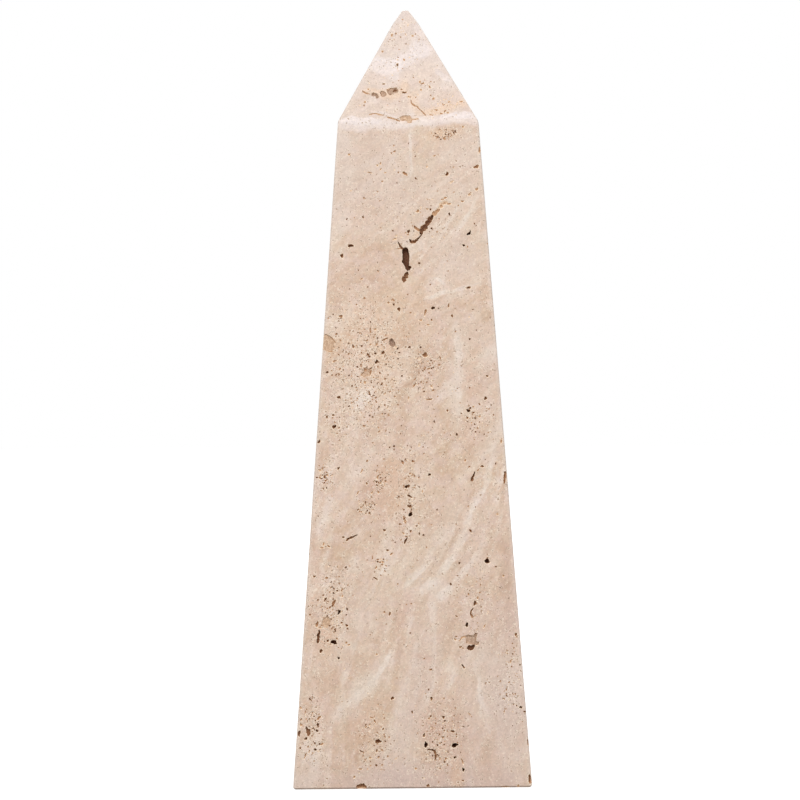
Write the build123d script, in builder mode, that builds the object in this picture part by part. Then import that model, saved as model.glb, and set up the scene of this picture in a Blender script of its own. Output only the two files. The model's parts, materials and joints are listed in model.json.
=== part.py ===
from build123d import *

import os
from math import atan2, cos, degrees, hypot, radians, sin

# A tabletop obelisk cut from one block of unfilled travertine. A square shaft tapers up to
# its shoulder, where a steeper pyramidion starts with no joint, and ends in a small flat.
# The stone is honed, so the natural voids of the travertine lie open in its faces.
# Origin: centre of the foot. +Z up, the front face towards -Y. Millimetres.

# Driving dimensions
HEIGHT = 300.0
BASE_WIDTH = 90.0  # across the flats at the foot
SHOULDER_WIDTH = 54.0  # across the flats where the pyramidion starts
PYRAMIDION_HEIGHT = 47.0
TIP_WIDTH = 3.9  # across the pyramidion's flats at its very top, if it weren't worn
WORN_TIP_WIDTH = 2.4  # the flat that ends it, before it is eased
WORN_HEIGHT = 6.0  # the end of the pyramidion that is worn narrower
SHOULDER_RADIUS = 4.0  # worn round where the shaft turns into the pyramidion
WORN_RADIUS = 25.0  # the soft turn where the worn end starts
ARRIS_RADIUS = 0.8  # the four long corners
TIP_RADIUS = 0.9  # round the tip's flat
FOOT_CHAMFER = 0.7

# Natural voids
VOID_FLOOR = 0.55  # width of a void's floor, as a share of the width of its mouth
OVERCUT = 0.4  # how far a void's cutter stands out of the face

SHOULDER_HEIGHT = HEIGHT - PYRAMIDION_HEIGHT
WORN_WIDTH = TIP_WIDTH + (SHOULDER_WIDTH - TIP_WIDTH) * WORN_HEIGHT / PYRAMIDION_HEIGHT

# Each void is a depth and the stations along it: its place across the face, from -1 at the
# left arris to 1 at the right, its place up the face, from 0 to 1, and its width there.
FRONT_SHAFT_VOIDS = {
    "fissure": (2.8, [(0.51, 0.878, 1.1), (0.42, 0.872, 1.5), (0.32, 0.858, 1.4), (0.24, 0.844, 1.6),
                      (0.17, 0.830, 1.9), (0.11, 0.821, 1.2), (0.05, 0.814, 1.8)]),
    "cavity under the fissure": (6.0, [(-0.06, 0.811, 1.9), (-0.04, 0.799, 3.0), (-0.05, 0.785, 3.3),
                                       (-0.04, 0.775, 2.6), (-0.05, 0.766, 1.4)]),
    "cavity branch": (1.5, [(-0.09, 0.806, 0.9), (-0.13, 0.815, 0.9), (-0.18, 0.818, 0.6)]),
    "left arris vug": (1.5, [(-0.93, 0.674, 2.4), (-0.93, 0.662, 4.4), (-0.92, 0.651, 3.2)]),
    "upper vug": (2.0, [(-0.22, 0.669, 1.4), (-0.21, 0.663, 2.4), (-0.19, 0.656, 1.4)]),
    "middle vug": (2.0, [(-0.45, 0.626, 1.5), (-0.48, 0.620, 3.1), (-0.52, 0.614, 2.2)]),
    "right arris void": (1.5, [(0.98, 0.468, 1.3), (0.97, 0.460, 1.7), (0.96, 0.450, 0.5)]),
    "right slit": (2.0, [(0.67, 0.469, 0.4), (0.65, 0.463, 0.7), (0.63, 0.456, 1.1)]),
    "hooked slit": (1.8, [(-0.03, 0.425, 0.6), (0.01, 0.420, 0.6), (0.02, 0.413, 0.7), (-0.01, 0.405, 1.6)]),
    "left slit": (2.2, [(-0.63, 0.370, 0.7), (-0.59, 0.372, 1.1), (-0.55, 0.374, 0.8), (-0.50, 0.377, 0.4)]),
    "right pit": (3.0, [(0.70, 0.334, 1.2), (0.73, 0.336, 1.7), (0.75, 0.338, 1.0)]),
    "curved slit": (1.6, [(0.58, 0.265, 0.5), (0.56, 0.259, 0.7), (0.57, 0.252, 0.9)]),
    "shallow left vug": (1.2, [(-0.80, 0.254, 2.2), (-0.80, 0.248, 3.4), (-0.80, 0.240, 2.5)]),
    "long left slit": (2.6, [(-0.86, 0.234, 0.9), (-0.87, 0.227, 1.3), (-0.87, 0.217, 1.1)]),
    "left pit": (3.0, [(-0.74, 0.216, 1.2), (-0.72, 0.217, 1.8), (-0.70, 0.217, 1.1)]),
    "shallow right vug": (1.0, [(0.49, 0.220, 2.0), (0.53, 0.221, 2.9), (0.57, 0.224, 3.0), (0.60, 0.226, 1.5)]),
    "shallow right vug's low end": (2.8, [(0.50, 0.205, 1.4), (0.53, 0.207, 2.5), (0.58, 0.211, 1.4)]),
    "low left pit": (2.2, [(-0.92, 0.090, 0.9), (-0.90, 0.086, 1.7), (-0.90, 0.081, 1.3)]),
    "low middle vug": (1.3, [(-0.32, 0.069, 1.1), (-0.29, 0.070, 1.7), (-0.27, 0.071, 1.1)]),
    "low curved slit": (1.8, [(0.13, 0.057, 0.5), (0.17, 0.056, 0.7), (0.19, 0.052, 1.1), (0.19, 0.044, 0.7)]),
    "low right pit": (2.6, [(0.34, 0.063, 1.1), (0.36, 0.063, 1.6), (0.38, 0.064, 0.8)]),
    "foot vug": (2.2, [(-0.46, 0.004, 2.0), (-0.43, 0.004, 3.2), (-0.40, 0.003, 2.6)]),
}
FRONT_PYRAMIDION_VOIDS = {
    "left of the row": (1.4, [(-0.67, 0.236, 1.0), (-0.62, 0.230, 1.9), (-0.56, 0.216, 1.3)]),
    "row": (2.0, [(-0.50, 0.243, 1.4), (-0.46, 0.243, 2.7), (-0.41, 0.250, 2.0), (-0.34, 0.256, 1.5),
                  (-0.25, 0.273, 2.0), (-0.19, 0.272, 0.9)]),
    "shoulder vug": (1.2, [(-0.10, 0.017, 1.4), (-0.04, 0.019, 2.8), (0.02, 0.017, 3.0), (0.06, 0.017, 1.2)]),
}
RIGHT_SHAFT_VOIDS = {
    "upper slit": (2.0, [(-0.62, 0.842, 0.5), (-0.50, 0.830, 1.2), (-0.41, 0.823, 0.7)]),
    "upper vug": (1.6, [(0.31, 0.756, 1.4), (0.36, 0.746, 2.6), (0.33, 0.738, 1.6)]),
    "middle pit": (3.2, [(-0.24, 0.548, 1.1), (-0.21, 0.552, 1.9), (-0.18, 0.555, 1.0)]),
    "long slit": (2.4, [(0.52, 0.470, 0.6), (0.46, 0.458, 1.2), (0.42, 0.444, 1.3), (0.41, 0.432, 0.6)]),
    "shallow vug": (1.1, [(-0.66, 0.312, 2.2), (-0.61, 0.304, 3.6), (-0.57, 0.297, 2.0)]),
    "low vug": (1.8, [(0.12, 0.142, 1.4), (0.16, 0.148, 2.3), (0.20, 0.151, 1.2)]),
}
BACK_SHAFT_VOIDS = {
    "upper pit": (2.6, [(0.28, 0.868, 1.0), (0.33, 0.872, 1.7), (0.37, 0.874, 0.9)]),
    "chain": (2.4, [(-0.51, 0.712, 0.6), (-0.44, 0.722, 1.4), (-0.36, 0.727, 1.0), (-0.27, 0.737, 1.7),
                    (-0.20, 0.741, 0.7)]),
    "deep cavity": (5.0, [(0.48, 0.588, 1.6), (0.50, 0.578, 2.8), (0.47, 0.568, 1.5)]),
    "left arris vug": (1.5, [(-0.96, 0.420, 2.0), (-0.95, 0.408, 3.4), (-0.96, 0.398, 1.6)]),
    "shallow vug": (1.2, [(0.06, 0.276, 2.0), (0.11, 0.268, 3.3), (0.16, 0.266, 1.8)]),
    "low slit": (2.0, [(0.66, 0.128, 0.5), (0.60, 0.122, 1.1), (0.54, 0.120, 0.6)]),
}
LEFT_SHAFT_VOIDS = {
    "upper vug": (1.6, [(-0.30, 0.902, 1.2), (-0.24, 0.896, 2.2), (-0.20, 0.888, 1.2)]),
    "slanting slit": (2.2, [(0.10, 0.772, 0.5), (0.17, 0.780, 1.1), (0.25, 0.786, 1.4), (0.31, 0.795, 0.6)]),
    "middle vug": (1.8, [(-0.58, 0.604, 1.6), (-0.54, 0.594, 2.7), (-0.55, 0.584, 1.4)]),
    "right pit": (2.8, [(0.62, 0.452, 1.0), (0.65, 0.455, 1.6), (0.68, 0.457, 0.9)]),
    "shallow vug": (1.2, [(-0.12, 0.338, 2.4), (-0.07, 0.330, 3.2), (-0.03, 0.322, 1.6)]),
    "low pit": (2.4, [(0.36, 0.176, 1.1), (0.39, 0.179, 1.8), (0.41, 0.181, 1.0)]),
}


class Face:
    """One sloping face of the stone, between two widths, seen from outside."""

    def __init__(self, foot_height, foot_width, rise, top_width, turn):
        reach = (foot_width - top_width) / 2
        lean = atan2(reach, rise)
        self.foot_width = foot_width
        self.top_width = top_width
        self.slope = hypot(rise, reach)
        self.plane = Plane(
            origin=Vector(0, -foot_width / 2, foot_height).rotate(Axis.Z, turn),
            x_dir=Vector(1, 0, 0).rotate(Axis.Z, turn),
            z_dir=Vector(0, -cos(lean), sin(lean)).rotate(Axis.Z, turn),
        )

    def point(self, across, up):
        """The place on the face for a share of its half width there and of its slope."""
        half_width = (self.foot_width + (self.top_width - self.foot_width) * up) / 2
        return Vector(across * half_width, up * self.slope)


def ribbon(face, stations, share):
    """Corners of a crooked ribbon that follows the stations, its widths and ends cut to a share."""
    centres = [face.point(across, up) for across, up, width in stations]
    left_side = []
    right_side = []
    for index, (across, up, width) in enumerate(stations):
        before = centres[max(index - 1, 0)]
        after = centres[min(index + 1, len(centres) - 1)]
        along = (after - before).normalized()
        half_width = width * share / 2
        beside = along.rotate(Axis.Z, 90) * half_width
        # The first and last stations stand back from the ends of the mouth.
        end_step = width * (1 - share) / 2 * ((index == 0) - (index == len(centres) - 1))
        centre = centres[index] + along * end_step
        left_side.append(centre + beside)
        right_side.append(centre - beside)
    return left_side + right_side[::-1]


def on_diagonal(edge):
    """True for the edges of the four long corners, which lie where x and y are equal."""
    middle = edge @ 0.5
    return abs(abs(middle.X) - abs(middle.Y)) < 0.001


SHAFT = (0, BASE_WIDTH, SHOULDER_HEIGHT, SHOULDER_WIDTH)
PYRAMIDION = (SHOULDER_HEIGHT, SHOULDER_WIDTH, PYRAMIDION_HEIGHT, TIP_WIDTH)
VOIDS_BY_FACE = [
    (Face(*SHAFT, turn=0), FRONT_SHAFT_VOIDS),
    (Face(*PYRAMIDION, turn=0), FRONT_PYRAMIDION_VOIDS),
    (Face(*SHAFT, turn=90), RIGHT_SHAFT_VOIDS),
    (Face(*SHAFT, turn=180), BACK_SHAFT_VOIDS),
    (Face(*SHAFT, turn=270), LEFT_SHAFT_VOIDS),
]

with BuildPart() as monolith:
    # The same outline cut square from the front and from the side
    for across_plane, mode in ((Plane.XZ, Mode.ADD), (Plane.YZ, Mode.INTERSECT)):
        with BuildSketch(across_plane) as outline:
            with BuildLine():
                Polyline(
                    (0, 0),
                    (BASE_WIDTH / 2, 0),
                    (SHOULDER_WIDTH / 2, SHOULDER_HEIGHT),
                    (WORN_WIDTH / 2, HEIGHT - WORN_HEIGHT),
                    (WORN_TIP_WIDTH / 2, HEIGHT),
                    (0, HEIGHT),
                )
                mirror(about=Plane.YZ)
            make_face()
            fillet(outline.vertices().group_by(Axis.Y)[1], SHOULDER_RADIUS)
            fillet(outline.vertices().group_by(Axis.Y)[-2], WORN_RADIUS)
        extrude(amount=BASE_WIDTH, both=True, mode=mode)

    # Eased edges
    fillet(monolith.edges().filter_by(on_diagonal), ARRIS_RADIUS)
    fillet(monolith.faces().sort_by(Axis.Z)[-1].edges(), TIP_RADIUS)
    chamfer(monolith.faces().sort_by(Axis.Z)[0].edges(), FOOT_CHAMFER)

    # Natural voids, each with sides that draw in from a ragged mouth to a smaller floor
    for face, voids in VOIDS_BY_FACE:
        for depth, stations in voids.values():
            for level, share in ((OVERCUT, 1.0), (-depth, VOID_FLOOR)):
                with BuildSketch(face.plane.offset(level)):
                    with BuildLine():
                        Polyline(*ribbon(face, stations, share), close=True)
                    make_face()
            loft(ruled=True, mode=Mode.SUBTRACT)

monolith.part.label = "monolith"
os.makedirs("parts", exist_ok=True)
export_step(monolith.part, "parts/monolith.step")
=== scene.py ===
"""Looks of a tabletop travertine obelisk: one honed stone whose natural voids lie open.

Lengths are millimetres until a mesh or the camera is made, and metres for the lamps. A place on a
face is (x, up): x from the face's centre line to the right, up from the face's foot along its
slope. A third number, out, is the height above the face.
"""

import json
import math
import random

import bmesh
import bpy
import numpy as np
from mathutils import Matrix, Vector, noise

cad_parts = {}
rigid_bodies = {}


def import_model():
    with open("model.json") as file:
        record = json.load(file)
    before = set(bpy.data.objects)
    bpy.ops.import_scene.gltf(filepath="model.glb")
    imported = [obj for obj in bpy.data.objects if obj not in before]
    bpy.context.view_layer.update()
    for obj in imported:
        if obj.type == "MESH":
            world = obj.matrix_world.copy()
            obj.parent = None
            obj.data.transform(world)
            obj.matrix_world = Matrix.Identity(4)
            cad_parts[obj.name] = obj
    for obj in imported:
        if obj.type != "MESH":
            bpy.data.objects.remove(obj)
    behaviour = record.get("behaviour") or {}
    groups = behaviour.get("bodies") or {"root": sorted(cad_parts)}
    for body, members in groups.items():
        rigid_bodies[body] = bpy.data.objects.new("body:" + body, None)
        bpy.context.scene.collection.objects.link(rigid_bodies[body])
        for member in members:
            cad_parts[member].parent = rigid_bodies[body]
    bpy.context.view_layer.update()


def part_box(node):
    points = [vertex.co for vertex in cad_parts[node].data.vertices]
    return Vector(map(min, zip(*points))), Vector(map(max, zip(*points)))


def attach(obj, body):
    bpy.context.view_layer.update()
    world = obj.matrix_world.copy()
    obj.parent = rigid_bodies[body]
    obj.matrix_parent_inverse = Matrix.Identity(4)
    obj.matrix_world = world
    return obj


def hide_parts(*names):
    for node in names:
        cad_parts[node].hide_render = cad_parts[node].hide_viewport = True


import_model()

MM = 0.001

# The stone, as the frame has it, with the sizes that its box doesn't give
high_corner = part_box("monolith")[1]
HEIGHT = high_corner.z / MM
FOOT_CHAMFER = 0.7
SHOULDER_HALF = 27.0
PYRAMIDION_HEIGHT = 47.0
TIP_HALF = 1.95  # where the pyramidion's flats would end if its tip weren't worn
WORN_HEIGHT = 6.0
WORN_TIP_HALF = 1.2
SHOULDER_RADIUS = 4.0
WORN_RADIUS = 25.0
TIP_RADIUS = 0.9
ARRIS_RADIUS = 0.8
SHOULDER_HEIGHT = HEIGHT - PYRAMIDION_HEIGHT
# The box is widest where the foot's chamfer ends, a chamfer above the foot.
WIDEST_HALF = high_corner.x / MM
TAPER = (WIDEST_HALF - SHOULDER_HALF) / (SHOULDER_HEIGHT - FOOT_CHAMFER)
BASE_HALF = WIDEST_HALF + TAPER * FOOT_CHAMFER
PYRAMIDION_TAPER = (SHOULDER_HALF - TIP_HALF) / PYRAMIDION_HEIGHT
WORN_HALF = TIP_HALF + PYRAMIDION_TAPER * WORN_HEIGHT

ARC_STEPS = 5
WORN_ARC_STEPS = 2
MOST_ROUND = 0.6  # the most that an arris' radius may be, as a share of the stone's half width
CELL = 5.0  # size of the grid that the stone's flats are divided in
COLUMNS = 16

# Levels of a void's worn rim, as heights above the face: where the cutter ends, and the rim's
# upper and lower edge
LIP = 0.12
RIM_TOP = -0.04
RIM_FOOT = -0.12

# A cutter's material, by its place in the list that cut() is given
DARK_VOID = 0
PALE_VOID = 1

SEED = 11

# ---------------------------------------------------------------- places of the voids

# Troughs on the front: depth, then stations of (x, up, width) in millimetres.
FRONT_SHAFT_TROUGHS = [
    # fissure, from its dark end up to its tan one
    (1.8, [(4.6, 210.2, 1.2), (4.9, 211.4, 2.3), (5.7, 212.5, 2.3), (6.8, 213.5, 1.9), (7.5, 214.6, 1.9),
        (8, 215.8, 1.6), (8.9, 216.8, 1.2)]),
    (0.6, [(8.9, 217, 1.3), (9.6, 217.7, 1.8), (10.4, 218.4, 1.6), (11.4, 219.2, 1.1)]),
    (0.3, [(11.3, 219.3, 0.9), (12, 220.4, 1.5), (12.6, 221.6, 1.3), (13.7, 222.3, 1.6),
        (14.6, 222.1, 0.9)]),
    (0.7, [(2, 213, 0.5), (2.4, 212.2, 1.2), (3.2, 211.6, 1.5), (4.2, 211.4, 1.2)]),
    (1.3, [(0.3, 207.8, 0.6), (0.6, 206.8, 1.2), (1.3, 207.1, 1.1), (2.2, 207, 1.4), (2.9, 207.7, 0.9),
        (3.7, 208.5, 0.5), (4.5, 209.4, 0.5), (5, 210.3, 0.4)]),
    # cavity under it, with its branches and the piece below
    (1.2, [(-2.3, 204, 0.9), (-3.1, 204.9, 0.9), (-3.7, 205.8, 0.7), (-4.2, 206.8, 0.4)]),
    (0.5, [(-3, 204.6, 0.5), (-4.3, 204.3, 0.5), (-4.8, 204.3, 0.3)]),
    (1.4, [(-0.8, 195.1, 1), (-1.3, 194.4, 2.2), (-1.5, 193.5, 1.6), (-2, 192.8, 2), (-2.1, 191.8, 1.2)]),
    # dark edges of the vugs
    (0.5, [(-30.1, 170.5, 0.4), (-29.4, 169.7, 0.5), (-28.6, 168.9, 0.5), (-28.4, 168.4, 0.3)]),
    (0.5, [(-31.2, 165.1, 0.4), (-30.4, 164.9, 0.6), (-29.6, 165, 0.5)]),
    (0.6, [(-10.4, 169.2, 0.5), (-9.6, 169.5, 0.6), (-8.6, 169.9, 0.6)]),
    (0.4, [(20.3, 56.4, 0.6), (19.2, 56.7, 0.8), (18.6, 55.8, 0.6), (17.9, 55.1, 0.4)]),
    (0.5, [(20.6, 54.8, 0.4), (20.8, 55.9, 0.7), (21.4, 56.6, 0.6)]),
    # slits
    (0.9, [(35.9, 118.7, 0.8), (35.7, 116.7, 1.1), (35.5, 114.5, 0.5)]),
    (1.2, [(24.3, 118.9, 0.4), (23.8, 117.4, 0.7), (23.2, 115.8, 1.2)]),
    (0.5, [(-0.9, 107.6, 0.3), (-0.1, 106.4, 0.4), (0.2, 105, 0.4), (-0.2, 103.8, 0.5)]),
    (1.1, [(-24.2, 93.8, 0.6), (-23.2, 94.1, 0.9), (-22, 94.6, 0.7), (-20.3, 95.3, 0.3)]),
    (0.9, [(23.2, 67.2, 0.4), (22.4, 66.4, 0.6), (22.3, 65.2, 0.7), (22.9, 64.1, 1)]),
    (1.4, [(-35, 59.3, 0.8), (-34.8, 58.3, 1.2), (-35.4, 57.3, 1.1), (-35.3, 56.2, 1), (-35.5, 55, 1)]),
    (1.3, [(-39.9, 22.8, 0.9), (-39.1, 21.8, 1.7), (-39.2, 20.5, 1.3)]),
    (1.1, [(5.7, 14.5, 0.5), (7.5, 14.4, 0.6), (8.5, 13.8, 1), (8.6, 12.5, 1.2), (8.5, 11, 0.6)]),
    (1.5, [(-20.6, 0.9, 1.6), (-19.3, 1, 2.5), (-18.1, 0.8, 1.8)]),
]
FRONT_PYRAMIDION_TROUGHS = [
    # row of pits
    (0.5, [(-17.4, 14.2, 0.5), (-16.8, 13.7, 0.8), (-16.2, 13.2, 0.7), (-15.2, 12.9, 0.7),
        (-14.6, 12.7, 0.4)]),
    (0.8, [(-10.4, 13.5, 0.5), (-10.1, 12.4, 0.7), (-9.5, 11.7, 0.8), (-8.8, 11.9, 0.5)]),
    (0.5, [(-2.1, 13.8, 0.5), (-1.5, 13.4, 0.8), (-0.8, 13.3, 0.8), (-0.5, 13.8, 0.4)]),
    # cracks
    (0.5, [(1.2, 9.8, 0.3), (1.3, 8.6, 0.5), (1.9, 7.8, 0.8), (2.7, 7.3, 0.8), (3.5, 7, 0.7),
        (3.9, 6.3, 0.5), (4.5, 5.4, 0.4), (5.4, 4.6, 0.3), (5.9, 3.9, 0.6), (6.4, 3.3, 0.6),
        (6.6, 2.6, 0.3)]),
    (0.4, [(-14.9, 3, 0.4), (-13.9, 3.4, 0.5), (-12.7, 3.7, 0.4), (-12, 3.5, 0.5), (-11.2, 3.1, 0.7),
        (-10.3, 2.9, 0.7), (-9.6, 2.7, 0.3)]),
    (0.5, [(-8, 1.9, 0.5), (-7, 1.5, 0.8), (-6, 1.3, 0.6), (-5.2, 1, 0.6), (-4.4, 0.5, 0.5),
        (-3.4, 0.1, 0.6)]),
    (0.5, [(-0.3, -0.4, 0.4), (0.5, -0.6, 0.5), (1.2, -0.3, 0.4)]),
    (0.4, [(1.7, 0.9, 0.5), (2.6, 0.8, 0.5), (3.5, 1.1, 0.8), (3.9, 1, 0.4)]),
]
# Shallow vugs with pale floors: depth, then the corners of the mouth, anticlockwise, as (x, up).
FRONT_SHAFT_HOLLOWS = [
    (0.5, [(-33.6, 171.2), (-33.8, 166.6), (-32.6, 165.4), (-31.2, 164.9), (-29.7, 164.9), (-28.7, 166.6),
        (-29.2, 167.6), (-28.4, 168.5), (-29.2, 169.6), (-30.1, 170.6), (-31.5, 171.6)]),
    (1.1, [(-7.7, 169.2), (-7.9, 168), (-7.4, 167), (-6.4, 166.6), (-5.6, 167.2), (-5.5, 168), (-6, 168.9),
        (-6.6, 169.9), (-7.3, 169.7)]),
    (0.6, [(-18.9, 156.4), (-18.7, 155.7), (-17.3, 155), (-16.5, 155.6), (-15.2, 155.7), (-14.7, 156.8),
        (-14.8, 158), (-14.3, 158.6), (-15.3, 158.5), (-16, 158.1), (-16.4, 159.3), (-17.6, 158.3),
        (-17.8, 157.2)]),
    (0.8, [(20.2, 57), (20.4, 55.8), (20.5, 54.3), (22, 53.9), (24.4, 53.4), (25.4, 53.7), (25.3, 54.6),
        (24.3, 55), (24.4, 56.4), (24.8, 57.8), (24, 58), (23.3, 57.2), (21.2, 57.3)]),
    (0.5, [(-33.9, 62.4), (-33.7, 61.2), (-33, 60.4), (-31.8, 60.5), (-31, 61.5), (-30.7, 63.1),
        (-31.4, 64.4), (-32.6, 64.5), (-33.6, 63.5)]),
]
FRONT_PYRAMIDION_HOLLOWS = [
    (0.7, [(-10.6, 13.6), (-10.3, 12.4), (-9.8, 11.6), (-9, 11.4), (-8.4, 11.9), (-8.2, 12.8), (-8.8, 13.8),
        (-9.5, 14.2), (-10.1, 14.1)]),
    (0.45, [(-3.4, 1.7), (-2.9, 0.3), (-1.9, 0.3), (-0.9, 0.1), (-0.2, -0.5), (0.8, -0.6), (1.4, 0),
        (1.6, 0.9), (1, 1.9), (0.3, 2.6), (-0.9, 2.6), (-2.4, 2.3)]),
    (0.75, [(-8.1, 14.4), (-7.9, 13.4), (-7.1, 12.5), (-6.4, 12.3), (-5.8, 13), (-4.6, 13.2), (-3.7, 13.7),
        (-3.6, 14.9), (-4.4, 15.9), (-5.8, 15.5), (-7.1, 15.5), (-7.4, 14.7)]),
    (0.85, [(-13.9, 13.3), (-14, 12.2), (-13.2, 11.6), (-12.4, 11.6), (-12.2, 10.8), (-11.5, 10.6),
        (-11.1, 11.3), (-11.4, 12.4), (-12.3, 13.2), (-13.2, 13.6)]),
]
# Dark voids of odd shape, as the hollows are given
FRONT_SHAFT_VUGS = [
    (2.8, [(-2.5, 204.3), (-2.9, 203.1), (-2.6, 201.6), (-2.7, 200.2), (-3, 199.3), (-2.3, 198.4),
        (-1.8, 197.6), (-1.5, 196.5), (-0.7, 195.8), (0.3, 196), (0.4, 197), (-0.1, 197.9), (0, 199.5),
        (0.2, 201), (0, 202.6), (-0.5, 204.3), (-1.1, 204.9), (-1.9, 204.6)]),
    (1.8, [(20.8, 52.9), (20.8, 52.1), (21.4, 51.5), (22.6, 51.4), (23.4, 52.1), (24, 53.2), (23.5, 53.9),
        (22.6, 53.4), (21.4, 53.4)]),
    (2.6, [(22, 209.6), (23.2, 209.6), (23.7, 210.2), (23.5, 211.5), (23, 210.8), (22.3, 210.2)]),
]
# Large voids on the other sides, the same as the CAD model's: depth, then stations of (place
# across, from -1 at the left arris to 1 at the right; place up, from 0 to 1; width).
RIGHT_SHAFT_VOIDS = [
    (2, [(-0.62, 0.842, 0.5), (-0.5, 0.83, 1.2), (-0.41, 0.823, 0.7)]),
    (1.6, [(0.31, 0.756, 1.4), (0.36, 0.746, 2.6), (0.33, 0.738, 1.6)]),
    (3.2, [(-0.24, 0.548, 1.1), (-0.21, 0.552, 1.9), (-0.18, 0.555, 1)]),
    (2.4, [(0.52, 0.47, 0.6), (0.46, 0.458, 1.2), (0.42, 0.444, 1.3), (0.41, 0.432, 0.6)]),
    (1.1, [(-0.66, 0.312, 2.2), (-0.61, 0.304, 3.6), (-0.57, 0.297, 2)]),
    (1.8, [(0.12, 0.142, 1.4), (0.16, 0.148, 2.3), (0.2, 0.151, 1.2)]),
]
BACK_SHAFT_VOIDS = [
    (2.6, [(0.28, 0.868, 1), (0.33, 0.872, 1.7), (0.37, 0.874, 0.9)]),
    (2.4, [(-0.51, 0.712, 0.6), (-0.44, 0.722, 1.4), (-0.36, 0.727, 1), (-0.27, 0.737, 1.7),
        (-0.2, 0.741, 0.7)]),
    (5, [(0.48, 0.588, 1.6), (0.5, 0.578, 2.8), (0.47, 0.568, 1.5)]),
    (1.5, [(-0.96, 0.42, 2), (-0.95, 0.408, 3.4), (-0.96, 0.398, 1.6)]),
    (1.2, [(0.06, 0.276, 2), (0.11, 0.268, 3.3), (0.16, 0.266, 1.8)]),
    (2, [(0.66, 0.128, 0.5), (0.6, 0.122, 1.1), (0.54, 0.12, 0.6)]),
]
LEFT_SHAFT_VOIDS = [
    (1.6, [(-0.3, 0.902, 1.2), (-0.24, 0.896, 2.2), (-0.2, 0.888, 1.2)]),
    (2.2, [(0.1, 0.772, 0.5), (0.17, 0.78, 1.1), (0.25, 0.786, 1.4), (0.31, 0.795, 0.6)]),
    (1.8, [(-0.58, 0.604, 1.6), (-0.54, 0.594, 2.7), (-0.55, 0.584, 1.4)]),
    (2.8, [(0.62, 0.452, 1), (0.65, 0.455, 1.6), (0.68, 0.457, 0.9)]),
    (1.2, [(-0.12, 0.338, 2.4), (-0.07, 0.33, 3.2), (-0.03, 0.322, 1.6)]),
    (2.4, [(0.36, 0.176, 1.1), (0.39, 0.179, 1.8), (0.41, 0.181, 1)]),
]

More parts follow.
